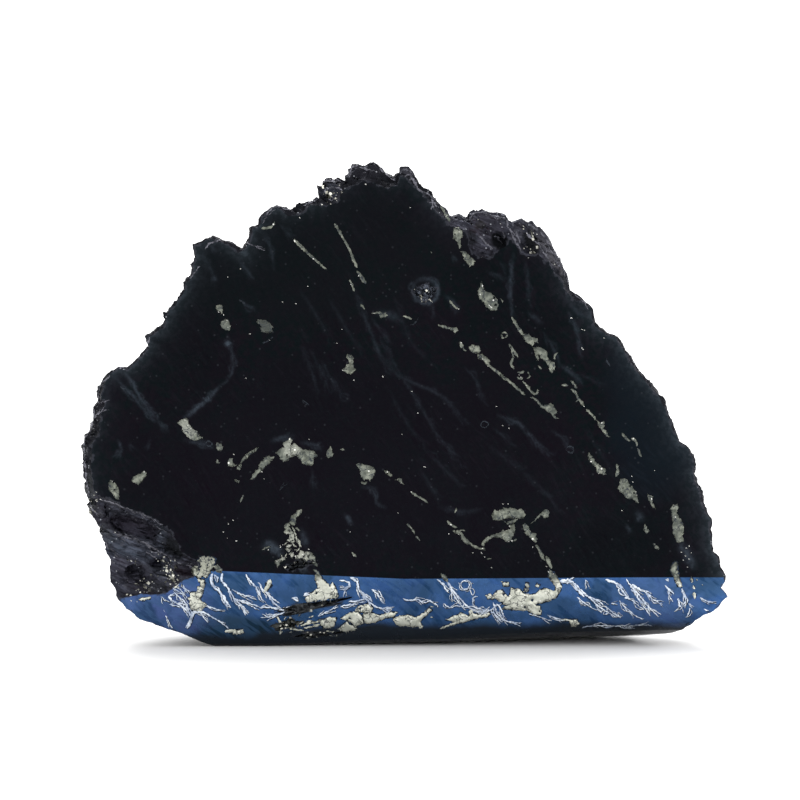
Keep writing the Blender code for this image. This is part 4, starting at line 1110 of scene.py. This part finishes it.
# Pinpoint glints of pyrite
GLINTS = [
    (500, 224), (523, 227), (527, 234), (533, 234), (537, 235), (527, 248), (531, 252), (528, 258), (554, 265),
    (482, 257), (478, 220), (332, 195), (337, 201), (322, 205), (96, 492), (95, 501), (100, 500), (89, 511),
    (114, 535), (130, 564), (155, 562), (174, 562), (163, 570), (168, 574), (168, 578), (169, 581), (169, 585),
    (172, 575), (178, 577), (178, 585), (181, 587), (143, 587), (148, 587), (146, 594), (130, 602), (136, 603),
    (185, 420), (188, 425), (191, 428), (219, 312), (223, 532), (224, 315), (227, 320), (227, 538),
    (228, 277), (228, 327), (228, 524), (233, 520), (234, 454), (236, 541), (237, 480), (241, 269),
    (246, 378), (250, 334), (262, 472), (264, 479), (268, 550), (270, 340), (283, 302), (284, 558),
    (288, 547), (289, 449), (292, 448), (293, 553), (295, 447), (296, 304), (300, 218), (308, 286),
    (309, 439), (337, 343), (342, 329), (350, 532), (354, 380), (366, 185), (383, 376), (383, 377),
    (398, 513), (402, 434), (410, 208), (412, 391), (418, 413), (424, 467), (425, 467), (449, 534),
    (456, 228), (459, 232), (459, 309), (473, 553), (482, 553), (485, 557), (488, 366), (489, 305),
    (491, 307), (492, 568), (496, 406), (503, 425), (503, 504), (508, 504), (509, 428), (519, 375),
    (521, 377), (526, 385), (533, 547), (547, 567), (549, 572), (554, 574), (571, 318), (572, 318),
    (582, 329), (582, 348), (583, 349), (584, 330), (584, 406), (604, 338), (622, 511), (629, 488),
    (632, 476), (633, 482), (637, 495), (655, 470), (687, 548), (688, 567), (690, 546), (690, 559),
    (280, 545.5), (280.5, 547), (282.5, 545), (308.5, 549), (276.5, 561.5), (283, 558.5), (289, 546), (289, 551),
    (292.5, 554), (291.5, 556.5), (169, 578.5), (169.5, 585.5), (167, 580.5), (177, 585.5), (181, 586.5), (171.5, 573.5),
    (155.5, 562), (174, 562.3), (199, 573), (202, 570), (205, 578), (682, 552), (684, 560), (686, 556), (692, 553),
]

# Silver veinlets of the band, in the form of the pyrite threads
VEINLETS = [
    ([(168, 597), (169.5, 600), (173, 603), (177, 605.5), (181, 608), (184, 611), (188, 615), (190, 618)], 2.2, 3.2),
    ([(193, 613), (191, 618), (190, 622), (188, 627), (186, 631)], 4.5, 3), ([(160.5, 598), (164.5, 602.5)], 1.8, 1.4),
    ([(168, 597), (171, 596), (174, 594)], 1.6, 1.8), ([(172, 589), (176, 591), (180, 594), (183, 598), (186, 602.5)], 1.6, 1.6),
    ([(176, 588.5), (180, 591), (184, 596)], 1.6, 1.4), ([(182, 586), (185, 590), (189, 594)], 1.8, 1.4),
    ([(173, 592), (177, 597), (183, 602), (186, 606), (188, 612)], 2.2, 1.6), ([(169, 606), (174, 607), (180, 607.5)], 1.6, 1.4),
    ([(190, 615), (196, 613.5), (202, 614), (208, 617), (213, 620), (222, 626), (228, 631)], 2.8, 1.4),
    ([(205, 607.5), (210, 609), (216, 611), (224, 611.5)], 1.9, 1.1),
    ([(200, 615), (207, 625)], 1.6, 1.4), ([(163, 612), (164.5, 614)], 1.2, 1.0),
    ([(165, 618), (168, 624), (171, 630)], 1.4, 1.2),
    ([(212, 574), (210.5, 580), (212, 586), (216, 590), (219, 593), (223, 598), (227, 605), (230, 609)], 4.2, 2.6),
    ([(214, 575), (217, 579), (216.5, 583)], 2.6, 2.2),
    ([(222, 574), (221, 580), (224, 585), (227, 589), (231, 596), (236, 602), (241, 607), (247, 616)], 3.2, 1.6),
    ([(232, 591), (240, 595), (248, 598), (256, 601)], 1.6, 1.6),
    ([(236, 601), (245, 604), (252, 606), (260, 609)], 2.4, 1.8),
    ([(245, 575), (250, 582), (255, 588), (260, 597)], 2.2, 1.6), ([(241, 607), (248, 613)], 1.6, 1.6),
    ([(258, 583), (262, 590), (266, 594), (270, 600), (275, 606), (279, 609)], 2, 3),
    ([(256, 590), (260, 598), (263, 604)], 1.6, 1.5),
    ([(258, 609), (268, 609), (280, 610), (290, 609)], 2.2, 1.8),
    ([(278, 609), (284, 614), (276, 617), (268, 619), (262, 616)], 2.2, 2.2),
    ([(292, 599), (298, 603)], 3, 2.4), ([(303, 597), (309, 593)], 3, 2.4),
    ([(318, 618), (330, 612), (338, 608)], 1.8, 1.4),
    ([(340, 581), (346, 582), (350, 585), (346, 589), (340, 588)], 2.4, 2),
    ([(345, 591), (343, 598)], 1.6, 1.4),
    ([(350, 578), (357, 583), (358, 588), (361, 594), (366, 600), (372, 606), (380, 610), (392, 611)], 3.2, 1.8),
    ([(359, 592), (365, 597), (372, 603)], 2.6, 2.4),
    ([(372, 590), (377, 595), (380, 600), (384, 605)], 1.8, 1.5), ([(378, 591), (383, 600)], 1.4, 1.4),
    ([(348, 603), (358, 602), (364, 600)], 2.2, 2), ([(340, 608), (350, 606), (358, 605)], 2.2, 1.8),
    ([(403, 600), (411, 602), (416, 600), (425, 604), (430, 602), (436, 606), (438, 609)], 1.8, 1.5),
    ([(437, 580), (443, 585), (446, 590), (449, 594)], 2.8, 2),
    ([(447, 583), (452, 590), (458, 597), (463, 603), (468, 608), (475, 612), (484, 614)], 2.4, 2),
    ([(451, 590), (456, 600), (461, 607), (466, 612)], 1.6, 1.6), ([(452, 594), (452, 603)], 1, 1),
    ([(443, 605), (450, 609), (457, 607), (462, 608)], 1.4, 1.4),
    ([(461, 583), (465, 581), (469, 583), (469, 588), (465, 590), (461, 588), (461, 583)], 1.4, 1.4),
    ([(469, 588), (473, 597)], 1.6, 1.4),
    ([(478, 598), (474, 598), (473, 604), (475, 609), (482, 611), (490, 612)], 1.6, 1.8),
    ([(470, 610), (478, 613), (486, 614), (492, 611), (497, 606)], 2.4, 2),
    ([(494, 604), (495, 610), (500, 618), (506, 623), (512, 625), (520, 628)], 2.4, 1.4),
    ([(490, 611), (495, 616), (500, 622), (503, 625)], 1.6, 1.4),
    ([(497, 605), (502, 612), (504, 620)], 2.4, 1.6), ([(548, 617), (556, 620), (565, 623)], 1.6, 1.4),
    ([(530, 616), (540, 619), (552, 623)], 1.3, 1.2),
    ([(560, 582), (570, 582), (575, 586), (580, 592), (585, 598)], 6.5, 4),
    ([(578, 598), (583, 603), (588, 606), (593, 610), (599, 612)], 1.8, 1.5),
    ([(585, 595), (592, 600), (597, 606), (602, 610), (610, 615), (618, 620)], 2.2, 1.5),
    ([(590, 598), (600, 603), (607, 609), (613, 614), (617, 618)], 2.2, 1.6),
    ([(586, 580), (587, 590)], 1.3, 1.2),
    ([(606, 580), (614, 583), (620, 586), (623, 592), (627, 597), (629, 600)], 3.6, 2),
    ([(627, 580), (631, 586), (638, 594), (643, 600), (649, 608), (655, 614), (660, 619)], 2.2, 1.6),
    ([(633, 585), (640, 590), (647, 594), (652, 599), (658, 603), (663, 606)], 3, 1.6),
    ([(632, 590), (638, 598), (643, 606), (648, 613), (652, 619)], 2, 1.6),
    ([(626, 599), (634, 602), (640, 608), (645, 611)], 1.8, 1.4),
    ([(620, 602), (625, 608), (632, 614), (638, 619), (645, 622)], 1.8, 1.4),
    ([(619, 614), (624, 618)], 1.4, 1.2), ([(604, 617), (609, 616)], 1.4, 1.4),
    ([(612, 605), (618, 606)], 1, 1), ([(666, 580), (669, 582)], 2.6, 2),
    ([(666, 586), (670, 591), (675, 595)], 2.2, 1.6), ([(668, 592), (674, 604)], 1.4, 1.2),
    ([(683, 590), (685, 596), (687, 602), (684, 606)], 3.4, 2),
    ([(679, 600), (681, 608), (678, 611)], 1.8, 1.4), ([(690, 605), (695, 609)], 1.8, 1.4),
    ([(691, 610), (690, 616), (687, 620)], 1.8, 1.4), ([(701, 599), (710, 603), (718, 603)], 1.4, 1.2),
    ([(705, 611), (710, 613)], 1.8, 1.6), ([(583, 630.5), (600, 628.5), (625, 629.5), (650, 628)], 1.1, 0.9),
]

# Faint blue-grey marks of the dark face, in the form of the pyrite threads
FAINT_VEINS = [
    ([(480.5, 424), (482, 421.5), (485.5, 421.5), (488, 424), (486, 427.5), (482, 427), (480.5, 424)], 1.5, 1.3),
    ([(567, 449), (568.5, 446.5), (572, 446.5), (574.5, 449.5), (573, 452.5), (568.5, 452), (567, 449)], 1.3, 1.6),
    ([(205, 443), (208, 441), (212, 443), (211, 446), (206, 445)], 1.5, 1.5),
    ([(411, 325), (415, 323), (418, 318)], 1.8, 1.6), ([(606, 358), (610, 367)], 1.4, 1.2),
    ([(240, 300), (246, 305)], 2, 2), ([(280, 490), (286, 484)], 1.6, 1.4), ([(303, 399), (309, 405)], 1.2, 1.2),
    ([(120, 386), (126, 390)], 1.4, 1.2), ([(262, 343), (268, 341), (273, 337)], 1.4, 1.2),
]

# Soft veins of the dark face: path in pixels, width in pixels and strength
SOFT_VEINS = [
    ([(112, 372), (118, 380), (125, 388), (133, 396), (140, 405), (148, 414), (155, 421)], 4.5, 0.4),
    ([(122, 368), (128, 376), (133, 384), (140, 397), (146, 405), (153, 413), (158, 420)], 4.5, 0.45),
    ([(158, 420), (163, 427), (167, 431)], 5, 0.3), ([(228, 335), (232, 350), (233, 368), (228, 380), (220, 386)], 4, 0.3),
    ([(220, 386), (212, 395), (207, 401)], 5, 0.4), ([(207, 401), (198, 407), (190, 414), (184, 418)], 5.5, 0.8),
    ([(210, 397), (205, 402)], 6, 0.9), ([(200, 250), (207, 262), (213, 275), (215, 285)], 6, 0.15),
    ([(213, 274), (216, 282)], 6, 0.3), ([(210, 245), (216, 252)], 4, 0.2), ([(265, 235), (271, 250), (274, 268)], 5, 0.2),
    ([(240, 262), (248, 272), (254, 280)], 5, 0.2), ([(280, 225), (294, 240)], 5, 0.15),
    ([(242, 300), (247, 306), (255, 310)], 4, 0.25), ([(226, 341), (229, 346)], 6.5, 1.0),
    ([(300, 345), (306, 357), (312, 372), (316, 388), (318, 394)], 3.5, 0.14),
    ([(310, 350), (320, 368), (327, 385), (330, 395)], 3.5, 0.14), ([(322, 362), (332, 380), (342, 395), (350, 400)], 3.5, 0.18),
    ([(355, 290), (362, 310), (370, 330), (378, 350), (385, 362), (392, 375)], 5, 0.2),
    ([(372, 318), (380, 330), (392, 344)], 4, 0.15), ([(118, 440), (121, 450), (116, 458)], 4, 0.35),
    ([(185, 440), (196, 443), (212, 446)], 5, 0.35), ([(272, 441), (286, 437), (292, 436)], 6, 0.4),
    ([(303, 443), (314, 445), (322, 447)], 5, 0.4), ([(128, 444), (134, 448)], 4, 0.2), ([(150, 440), (147, 450)], 4, 0.2),
    ([(380, 336), (400, 374), (418, 402), (436, 433), (454, 456), (464, 467)], 4, 0.16),
    ([(385, 351), (395, 372), (418, 385), (431, 390), (447, 400), (457, 413), (467, 423)], 5, 0.17),
    ([(440, 436), (447, 446), (456, 456)], 3, 0.2), ([(465, 368), (475, 379), (482, 397), (485, 403)], 3.5, 0.2),
    ([(498, 415), (518, 423), (531, 436), (544, 449), (549, 454)], 5, 0.32), ([(493, 428), (503, 436), (513, 446)], 4, 0.15),
    ([(525, 428), (533, 440), (536, 447)], 3, 0.3), ([(552, 431), (562, 438), (570, 449)], 4, 0.25),
    ([(488, 444), (513, 464), (526, 469)], 4, 0.1), ([(544, 333), (556, 354), (560, 367)], 4, 0.22),
    ([(569, 313), (577, 333), (579, 354)], 5, 0.4), ([(580, 374), (590, 379), (603, 385)], 4, 0.12),
    ([(513, 254), (511, 275), (510, 287), (511, 303), (512, 315)], 5, 0.4), ([(511, 278), (510, 296)], 6, 0.3),
    ([(487, 272), (502, 277), (508, 280)], 3.5, 0.17), ([(526, 262), (528, 285), (529, 303)], 4.5, 0.2),
    ([(528, 313), (541, 323)], 7, 0.26), ([(432, 300), (434, 318)], 4, 0.17), ([(345, 515), (352, 524)], 6, 0.4),
    ([(440, 507), (460, 512), (480, 510)], 6, 0.14), ([(264, 547), (270, 545), (280, 553)], 10, 0.8),
    ([(301, 530), (304, 538), (306, 546)], 8, 0.4), ([(298, 561), (300, 567), (308, 572)], 6, 0.5),
    ([(362, 487), (371, 489), (375, 495), (377, 503), (386, 507)], 4, 0.3), ([(376, 312), (392, 316), (400, 322)], 10, 0.25),
    ([(415, 282), (425, 279), (436, 284), (437, 296), (428, 303), (416, 298), (413, 288), (415, 282)], 6, 0.5),
    ([(446, 296), (454, 304), (458, 312)], 6, 0.3), ([(562, 366), (572, 374), (582, 382)], 6, 0.3),
    ([(568, 300), (576, 312), (586, 318)], 7, 0.25), ([(452, 255), (457, 262)], 4, 0.2), ([(500, 262), (506, 276)], 3, 0.15),
    ([(638, 512), (642, 520)], 8, 0.5), ([(626, 525), (632, 533)], 5, 0.3), ([(680, 542), (688, 556), (694, 566)], 12, 0.5),
    ([(312, 470), (313, 490)], 4, 0.15), ([(430, 452), (445, 470), (462, 486)], 4, 0.12), ([(420, 470), (440, 500)], 5, 0.1),
    ([(300, 290), (318, 318), (330, 340)], 5, 0.1), ([(330, 300), (350, 335), (362, 352)], 5, 0.1),
    ([(395, 300), (410, 340), (430, 362)], 5, 0.08), ([(392, 395), (408, 425), (425, 445)], 4, 0.1),
    ([(520, 470), (545, 492), (560, 512)], 5, 0.1), ([(585, 430), (600, 452), (612, 470)], 5, 0.08),
]


# Painted highlights along the edges of the broken stone on the crest and the left side, where they catch the light:
# path in pixels, and its two widths
PAINTED_RIDGE_HIGHLIGHTS = [
    ([(304, 206), (312, 203), (319, 200)], 2, 1.6), ([(318, 190), (321, 185), (328, 182), (336, 181), (341, 183)], 1.6, 1.4),
    ([(324, 193), (330, 189), (337, 189), (342, 191)], 1.8, 1.4), ([(325, 197), (330, 200), (333, 202)], 1.6, 1.4),
    ([(346, 180), (349, 174), (353, 169), (358, 167)], 2, 1.6), ([(349, 179), (352, 174), (357, 170)], 1.4, 1.2),
    ([(359, 168), (363, 170), (366, 169)], 1.6, 1.4), ([(364, 171), (370, 171), (376, 173)], 2, 1.6),
    ([(363, 174), (367, 176)], 1.5, 1.3), ([(370, 165), (375, 165), (380, 169), (384, 174), (390, 179), (395, 181)], 1.8, 1.3),
    ([(400, 174), (403, 171), (407, 171), (411, 174), (413, 176)], 2.8, 2.2), ([(404, 177), (409, 176), (412, 178)], 1.6, 1.4),
    ([(410, 176), (414, 182), (418, 189), (423, 194)], 3.2, 2.4), ([(423, 192), (427, 194), (431, 199), (434, 204), (437, 208)], 2.2, 1.8),
    ([(425, 195), (422, 197)], 2, 1.6), ([(428, 203), (433, 203)], 1.8, 1.4), ([(431, 210), (433, 206)], 1.6, 1.4),
    ([(455, 214), (460, 217), (465, 221)], 3, 3), ([(469, 222), (471, 217), (475, 214), (480, 213), (485, 213), (488, 216)], 1.6, 1.4),
    ([(490, 217), (496, 218), (503, 218), (507, 221)], 1.4, 1.2), ([(507, 221), (507, 227), (511, 233), (514, 240), (518, 246), (521, 252)], 2.2, 1.6),
    ([(511, 224), (515, 229), (517, 236), (520, 243)], 1.6, 1.4), ([(494, 237), (499, 239), (504, 238), (503, 233)], 1.3, 1.2),
    ([(478, 236), (482, 240), (487, 245), (492, 249)], 2, 1.6), ([(486, 243), (490, 247), (494, 249)], 1.6, 1.4),
    ([(526, 233), (530, 238), (536, 243), (541, 249), (545, 256), (549, 261)], 2.4, 2), ([(529, 226), (535, 230), (541, 234), (546, 241), (550, 247)], 2, 1.8),
    ([(551, 248), (555, 254), (560, 262), (564, 269), (567, 277), (568, 285)], 1.8, 1.5), ([(545, 243), (551, 252), (556, 260), (562, 270), (565, 278)], 1.4, 1.2),
    ([(555, 262), (560, 268), (565, 273)], 1.8, 1.4), ([(206, 250), (209, 244), (219, 241), (232, 237)], 1.5, 1.3),
    ([(236, 238), (245, 242), (256, 247), (265, 251)], 1.3, 1.2), ([(190, 279), (196, 272), (200, 266)], 1.5, 1.3),
    ([(263, 224), (270, 211), (279, 207), (290, 211)], 1.5, 1.3), ([(150, 337), (147, 345), (134, 359), (125, 367), (118, 369)], 1.5, 1.3),
    ([(110, 376), (101, 385), (98, 395), (98, 404)], 1.6, 1.4), ([(94, 410), (93, 420), (89, 432), (84, 441), (84, 460)], 1.8, 1.6),
    ([(84, 462), (86, 480), (88, 496), (91, 510), (97, 518)], 2, 2), ([(93, 420), (100, 412), (104, 408)], 1.4, 1.3),
    ([(98, 404), (104, 402), (110, 400)], 1.4, 1.3), ([(569, 287), (577, 297), (584, 302), (588, 310)], 1.4, 1.2),
    ([(100, 501), (112, 504), (124, 508), (138, 513), (150, 518), (162, 525)], 1.8, 1.4), ([(152, 527), (160, 530), (166, 533)], 1.6, 1.4),
    ([(112, 535), (125, 540), (140, 545), (152, 551), (163, 557), (174, 562)], 2.4, 1.8), ([(120, 536), (134, 541), (148, 548), (158, 553)], 1.5, 1.3),
    ([(104, 545), (108, 552), (116, 556)], 2, 1.6), ([(145, 555), (151, 559), (156, 562)], 1.8, 1.4),
    ([(176, 564), (184, 566), (192, 569)], 1.4, 1.2), ([(110, 563), (114, 567)], 1.8, 1.4),
]


def strands(paths, seed):
    """Roughens each path, and adds thin strands that part from it and run beside it, and a few twigs.

    The last value of a path says how often they do."""
    shuffle = random.Random(seed)
    made = []
    for points, first, last, often in paths:
        line = smooth_path(points, 2.0)
        width = 0.5 * (first + last)
        jagged = [p + Vector((shuffle.uniform(-0.45, 0.45), shuffle.uniform(-0.45, 0.45))) for p in line]
        made.append((jagged, 0.95 * first, 0.75 * last))
        for _ in range(round(often * len(line) / 4 + shuffle.uniform(-0.4, 0.6))):
            start = shuffle.randrange(max(1, len(line) - 5))
            part = line[start:start + shuffle.randint(5, 10)]
            lean = shuffle.choice((-1, 1)) * shuffle.uniform(1.6, 4.0)
            rejoins = shuffle.random() < 0.4
            beside = [part[0]]
            for i in range(1, len(part)):
                share = i / (len(part) - 1)
                along = (part[i] - part[i - 1]).normalized()
                spread = math.sin(math.pi * share) if rejoins else share**0.7
                beside.append(part[i] + Vector((-along.y, along.x)) * (lean * spread + shuffle.uniform(-0.3, 0.3)))
            if len(beside) > 2:
                made.append((beside, 0.5 * width, 0.35 * width))
        for here, after in zip(line[1:], line[2:]):
            if shuffle.random() < 0.3 * often:
                along = (after - here).normalized()
                side = Vector((-along.y, along.x)) * shuffle.choice((-1, 1))
                reach = shuffle.uniform(3.0, 9.0)
                way = (along + side * shuffle.uniform(0.15, 0.6)).normalized()
                middle = here + way * reach / 2 + side * shuffle.uniform(-0.5, 0.5)
                made.append(([here, middle, here + way * reach + along], 0.5 * width, 0.3 * width))
    return made


def smooth_path(points, step=2.0):
    """Extra points along a path in photograph pixels, rounded at its corners."""
    points = [Vector(p) for p in points]
    ends = [points[0] * 2 - points[1]] + points + [points[-1] * 2 - points[-2]]
    made = []
    for a, b, c, d in zip(ends, ends[1:], ends[2:], ends[3:]):
        count = max(1, round((c - b).length / step))
        for i in range(count):
            t = i / count
            curve = 2 * b + (c - a) * t + (2 * a - 5 * b + 4 * c - d) * t**2 + (3 * b - a - 3 * c + d) * t**3
            made.append(0.5 * curve)
    return made + [points[-1]]


def path_object(name, paths):
    """A curve object with one flat spline for each path, its radius half the path's width."""
    curve = bpy.data.curves.new(name, "CURVE")
    curve.dimensions = "3D"
    for points, first, last in paths:
        line = smooth_path(points)
        spline = curve.splines.new("POLY")
        spline.points.add(len(line) - 1)
        length = max(1.0, sum((b - a).length for a, b in zip(line, line[1:])))
        gone = 0.0
        for i, point in enumerate(line):
            gone += (point - line[i - 1]).length if i else 0.0
            width = first + (last - first) * gone / length
            end = min(gone, length - gone) / (0.5 * width)
            taper = min(1.0, 0.35 + 0.5 * end)
            x, z = place(*point)
            spline.points[i].co = (x, 0.0, z, 1.0)
            spline.points[i].radius = 0.5 * width * PIXEL * taper
    made = bpy.data.objects.new(name, curve)
    bpy.context.scene.collection.objects.link(made)
    return made


def inside(point, ring):
    """Whether a point lies inside a closed ring of points."""
    crossings = 0
    for one, other in zip(ring, ring[1:] + ring[:1]):
        if (one.y > point.y) != (other.y > point.y):
            crossings += point.x < one.x + (point.y - one.y) * (other.x - one.x) / (other.y - one.y)
    return crossings % 2 == 1


def evenly(ring, step):
    """A closed ring with extra points, so that no side is longer than step."""
    made = []
    for one, other in zip(ring, ring[1:] + ring[:1]):
        count = max(1, math.ceil((other - one).length / step))
        made += [one.lerp(other, i / count) for i in range(count)]
    return made


def patch_object(name, outlines, openings):
    """Thin flat plates with these outlines, cut by the openings, all in one mesh that faces out."""
    bm = bmesh.new()
    for outline in outlines:
        rings = [evenly([Vector(p) for p in outline], 0.9)]
        for column, row, radius in openings:
            middle = Vector((column, row))
            if inside(middle, rings[0]):
                turns = [math.tau * i / 7 for i in range(7)]
                rings.append([middle + radius * Vector((math.cos(t), math.sin(t))) for t in turns])
        points, edges = [], []
        for ring in rings:
            start = len(points)
            points += ring
            edges += [(start + i, start + (i + 1) % len(ring)) for i in range(len(ring))]
        drawn = len(points)
        low = [min(p[i] for p in rings[0]) for i in (0, 1)]
        high = [max(p[i] for p in rings[0]) for i in (0, 1)]
        for column in np.arange(low[0] + 1, high[0], 2.2):
            for row in np.arange(low[1] + 1, high[1], 2.2):
                point = Vector((column, row))
                if inside(point, rings[0]) and min((point - p).length for p in points[:drawn]) > 1.7:
                    points.append(point)
        flat, _, faces, *_ = geometry.delaunay_2d_cdt(points, edges, [], 0, 1e-5)
        centres = [sum((flat[i] for i in face), Vector((0, 0))) / len(face) for face in faces]
        kept = [face for face, middle in zip(faces, centres) if inside(middle, rings[0]) and not any(inside(middle, r) for r in rings[1:])]
        add_plate(bm, flat, kept)
    bmesh.ops.recalc_face_normals(bm, faces=bm.faces)
    mesh = bpy.data.meshes.new(name)
    bm.to_mesh(mesh)
    bm.free()
    made = bpy.data.objects.new(name, mesh)
    bpy.context.scene.collection.objects.link(made)
    return made


def add_plate(bm, flat, faces):
    """A closed plate of flat faces, given in pixels, in the plane of the polished face."""
    sides = []
    for y in (-0.05 * MM, 0.05 * MM):
        corners = {}
        for face in faces:
            for i in face:
                if i not in corners:
                    x, z = place(*flat[i])
                    corners[i] = bm.verts.new((x, y, z))
        sides.append(corners)
    used = {}
    for face in faces:
        bm.faces.new([sides[0][i] for i in face])
        bm.faces.new([sides[1][i] for i in reversed(face)])
        for one, other in zip(face, face[1:] + face[:1]):
            used.setdefault(frozenset((one, other)), []).append((one, other))
    for rims in used.values():
        if len(rims) == 1:
            one, other = rims[0]
            bm.faces.new((sides[0][one], sides[1][one], sides[1][other], sides[0][other]))


def widened(outline, margin):
    """An outline moved outwards by a margin."""
    ring = evenly([Vector(p) for p in outline], 2.0)
    turning = sum(a.x * b.y - b.x * a.y for a, b in zip(ring, ring[1:] + ring[:1]))
    made = []
    for before, here, after in zip(ring[-1:] + ring[:-1], ring, ring[1:] + ring[:1]):
        along = after - before
        outward = Vector((along.y, -along.x)).normalized() * math.copysign(margin, turning)
        made.append(here + outward)
    return made


def shifted(paths, move, wider):
    """Paths moved by a pixel offset and made wider by some pixels."""
    return [([(c + move[0], r + move[1]) for c, r in points], a + wider, b + wider) for points, a, b in paths]


def make_minerals(face, shell):
    laying = lay_on_surface()
    thread_tree = threads(laying)
    brass = pyrite()
    silver = vein_material("silver_veinlet", (0.80, 0.87, 0.96, 1), (0.40, 0.48, 0.63, 1), 0.35)
    faint = vein_material("faint_vein", (0.017, 0.023, 0.032, 1), (0.006, 0.009, 0.014, 1), 0.4)
    # Painted highlight: the pale colour of these raised strands stands for broken edges catching the light
    pale = vein_material("pale_ridge", (0.130, 0.130, 0.155, 1), (0.020, 0.022, 0.030, 1), 0.4)
    glint = vein_material("pyrite_glint", (0.85, 0.85, 0.80, 1), (0.55, 0.55, 0.50, 1), 0.3)
    # Painted shadow: a dark rim laid around the pyrite and the veinlets, where their relief would shade the face
    dark = vein_material("dark_selvage", (0.006, 0.012, 0.022, 1), (0.012, 0.024, 0.052, 1), 0.45)
    dots = [([(c - 0.5, r), (c + 0.5, r + 0.4)], 2.0, 1.6) for c, r in GLINTS]
    low = [path for path in PYRITE_THREADS if path[0][0][1] > 560]
    silver_paths = strands([(path, 0.8 * first, 0.8 * last, 0.65) for path, first, last in VEINLETS], 3)
    # Painted shadows: the band's veinlets and threads, moved a little down and to the right and widened
    painted_shadows = shifted(silver_paths, (0.3, 0.5), 0.6) + shifted(low, (0.2, 0.3), 1.6)
    on = {"Surface": face, "Rough_Surface": shell}
    made = [
        # Painted shadow around the pyrite bodies of the band
        grown(
            patch_object("selvage_outlines", [widened(p, 0.8) for p in BAND_PATCHES], []), laying,
            "pyrite_selvages", Ragged=0.3 * MM, Ragged_Size=0.4 * MM, Rise=0.03 * MM, Material=dark, **on,
        ),
        grown(
            path_object("selvage_paths", painted_shadows), thread_tree, "vein_selvages", Swell=0.9,
            Swell_Size=0.35 * MM, Ragged=0.13 * MM, Ragged_Size=0.35 * MM, Rise=0.015 * MM, Material=dark, **on,
        ),
        grown(
            patch_object("pyrite_outlines", FACE_PATCHES + BAND_PATCHES, OPENINGS), laying,
            "pyrite_patches", Ragged=0.32 * MM, Ragged_Size=0.42 * MM, Rise=0.06 * MM, Material=brass, **on,
        ),
        grown(
            path_object("pyrite_paths", PYRITE_THREADS), thread_tree, "pyrite_threads", Swell=0.55,
            Swell_Size=0.6 * MM, Ragged=0.22 * MM, Ragged_Size=0.42 * MM, Rise=0.05 * MM, Material=brass, **on,
        ),
        grown(
            path_object("glint_paths", dots), thread_tree, "pyrite_glints", Swell=0.5,
            Swell_Size=0.3 * MM, Ragged=0.15 * MM, Ragged_Size=0.4 * MM, Rise=0.075 * MM, Material=glint, **on,
        ),
        grown(
            path_object("veinlet_paths", silver_paths), thread_tree, "silver_veinlets", Swell=1.0,
            Swell_Size=0.45 * MM, Ragged=0.13 * MM, Ragged_Size=0.35 * MM, Rise=0.04 * MM, Material=silver, **on,
        ),
        grown(
            path_object("faint_paths", strands([(*vein, 0.0) for vein in FAINT_VEINS], 5)), thread_tree,
            "faint_veins", Swell=1.3, Swell_Size=0.4 * MM, Ragged=0.25 * MM, Ragged_Size=0.5 * MM,
            Rise=0.02 * MM, Material=faint, **on,
        ),
        grown(
            path_object("ridge_paths", strands([(*ridge, 0.15) for ridge in PAINTED_RIDGE_HIGHLIGHTS], 9)), thread_tree,
            "pale_ridges", Swell=1.3, Swell_Size=0.35 * MM, Ragged=0.25 * MM, Ragged_Size=0.4 * MM,
            Rise=0.06 * MM, Material=pale, **on,
        ),
    ]
    for piece in made:
        piece.data.shade_smooth()
        hand_over(piece, stands_for_stone=False)
    return made


# The studio


def plain_material(name, colour, roughness):
    material = bpy.data.materials.new(name)
    material.use_nodes = True
    shader = material.node_tree.nodes["Principled BSDF"].inputs
    shader["Base Color"].default_value = colour
    shader["Roughness"].default_value = roughness
    shader["Specular IOR Level"].default_value = 0.0
    return material


def area_light(name, at, target, size, power):
    light = bpy.data.lights.new(name, "AREA")
    light.size = size
    light.energy = power
    made = bpy.data.objects.new(name, light)
    bpy.context.scene.collection.objects.link(made)
    made.location = at
    made.rotation_euler = (Vector(target) - Vector(at)).to_track_quat("-Z", "Y").to_euler()
    return made


def make_studio():
    mesh = bpy.data.meshes.new("floor")
    reach = 40.0
    mesh.from_pydata([(-reach, -reach, 0), (reach, -reach, 0), (reach, reach, 0), (-reach, reach, 0)], [], [(0, 1, 2, 3)])
    mesh.materials.append(plain_material("floor_white", (0.92, 0.92, 0.92, 1), 1.0))
    floor = bpy.data.objects.new("floor", mesh)
    bpy.context.scene.collection.objects.link(floor)

    world = bpy.data.worlds.new("studio")
    bpy.context.scene.world = world
    world.use_nodes = True
    g = Graph(world.node_tree)
    background = world.node_tree.nodes["Background"].inputs
    background["Color"].default_value = (1, 1, 1, 1)
    camera_ray = g.node("ShaderNodeLightPath").outputs["Is Camera Ray"]
    g.feed(background["Strength"], g.math("ADD", 1.12, g.math("MULTIPLY", camera_ray, 0.2)))

    area_light("back_softbox", (-0.1, 0.5, 1.35), (0, 0, 0), 1.1, 20.0)
    area_light("side_softbox", (0.7, 0.15, 0.35), (0, 0, 0.04), 0.4, 2.0)

    camera = bpy.data.objects.new("camera", bpy.data.cameras.new("camera"))
    bpy.context.scene.collection.objects.link(camera)
    bpy.context.scene.camera = camera
    x, z = place(PHOTO_SIZE / 2, PHOTO_SIZE / 2)
    target, distance = Vector((x, FRONT, z)), 1.4
    back = Vector((0, -math.cos(VIEW_ELEVATION), math.sin(VIEW_ELEVATION)))
    camera.location = target + back * distance
    camera.rotation_euler = (-back).to_track_quat("-Z", "Y").to_euler()
    camera.data.sensor_width = 36
    camera.data.lens = 36 * distance / (PHOTO_SIZE * PIXEL)
    camera.data.clip_start, camera.data.clip_end = 0.01, 20
    bpy.context.scene.view_settings.view_transform = "Standard"


def main():
    face, _, shell = make_stone()
    make_minerals(face, shell)
    make_grains(shell)
    make_studio()


main()
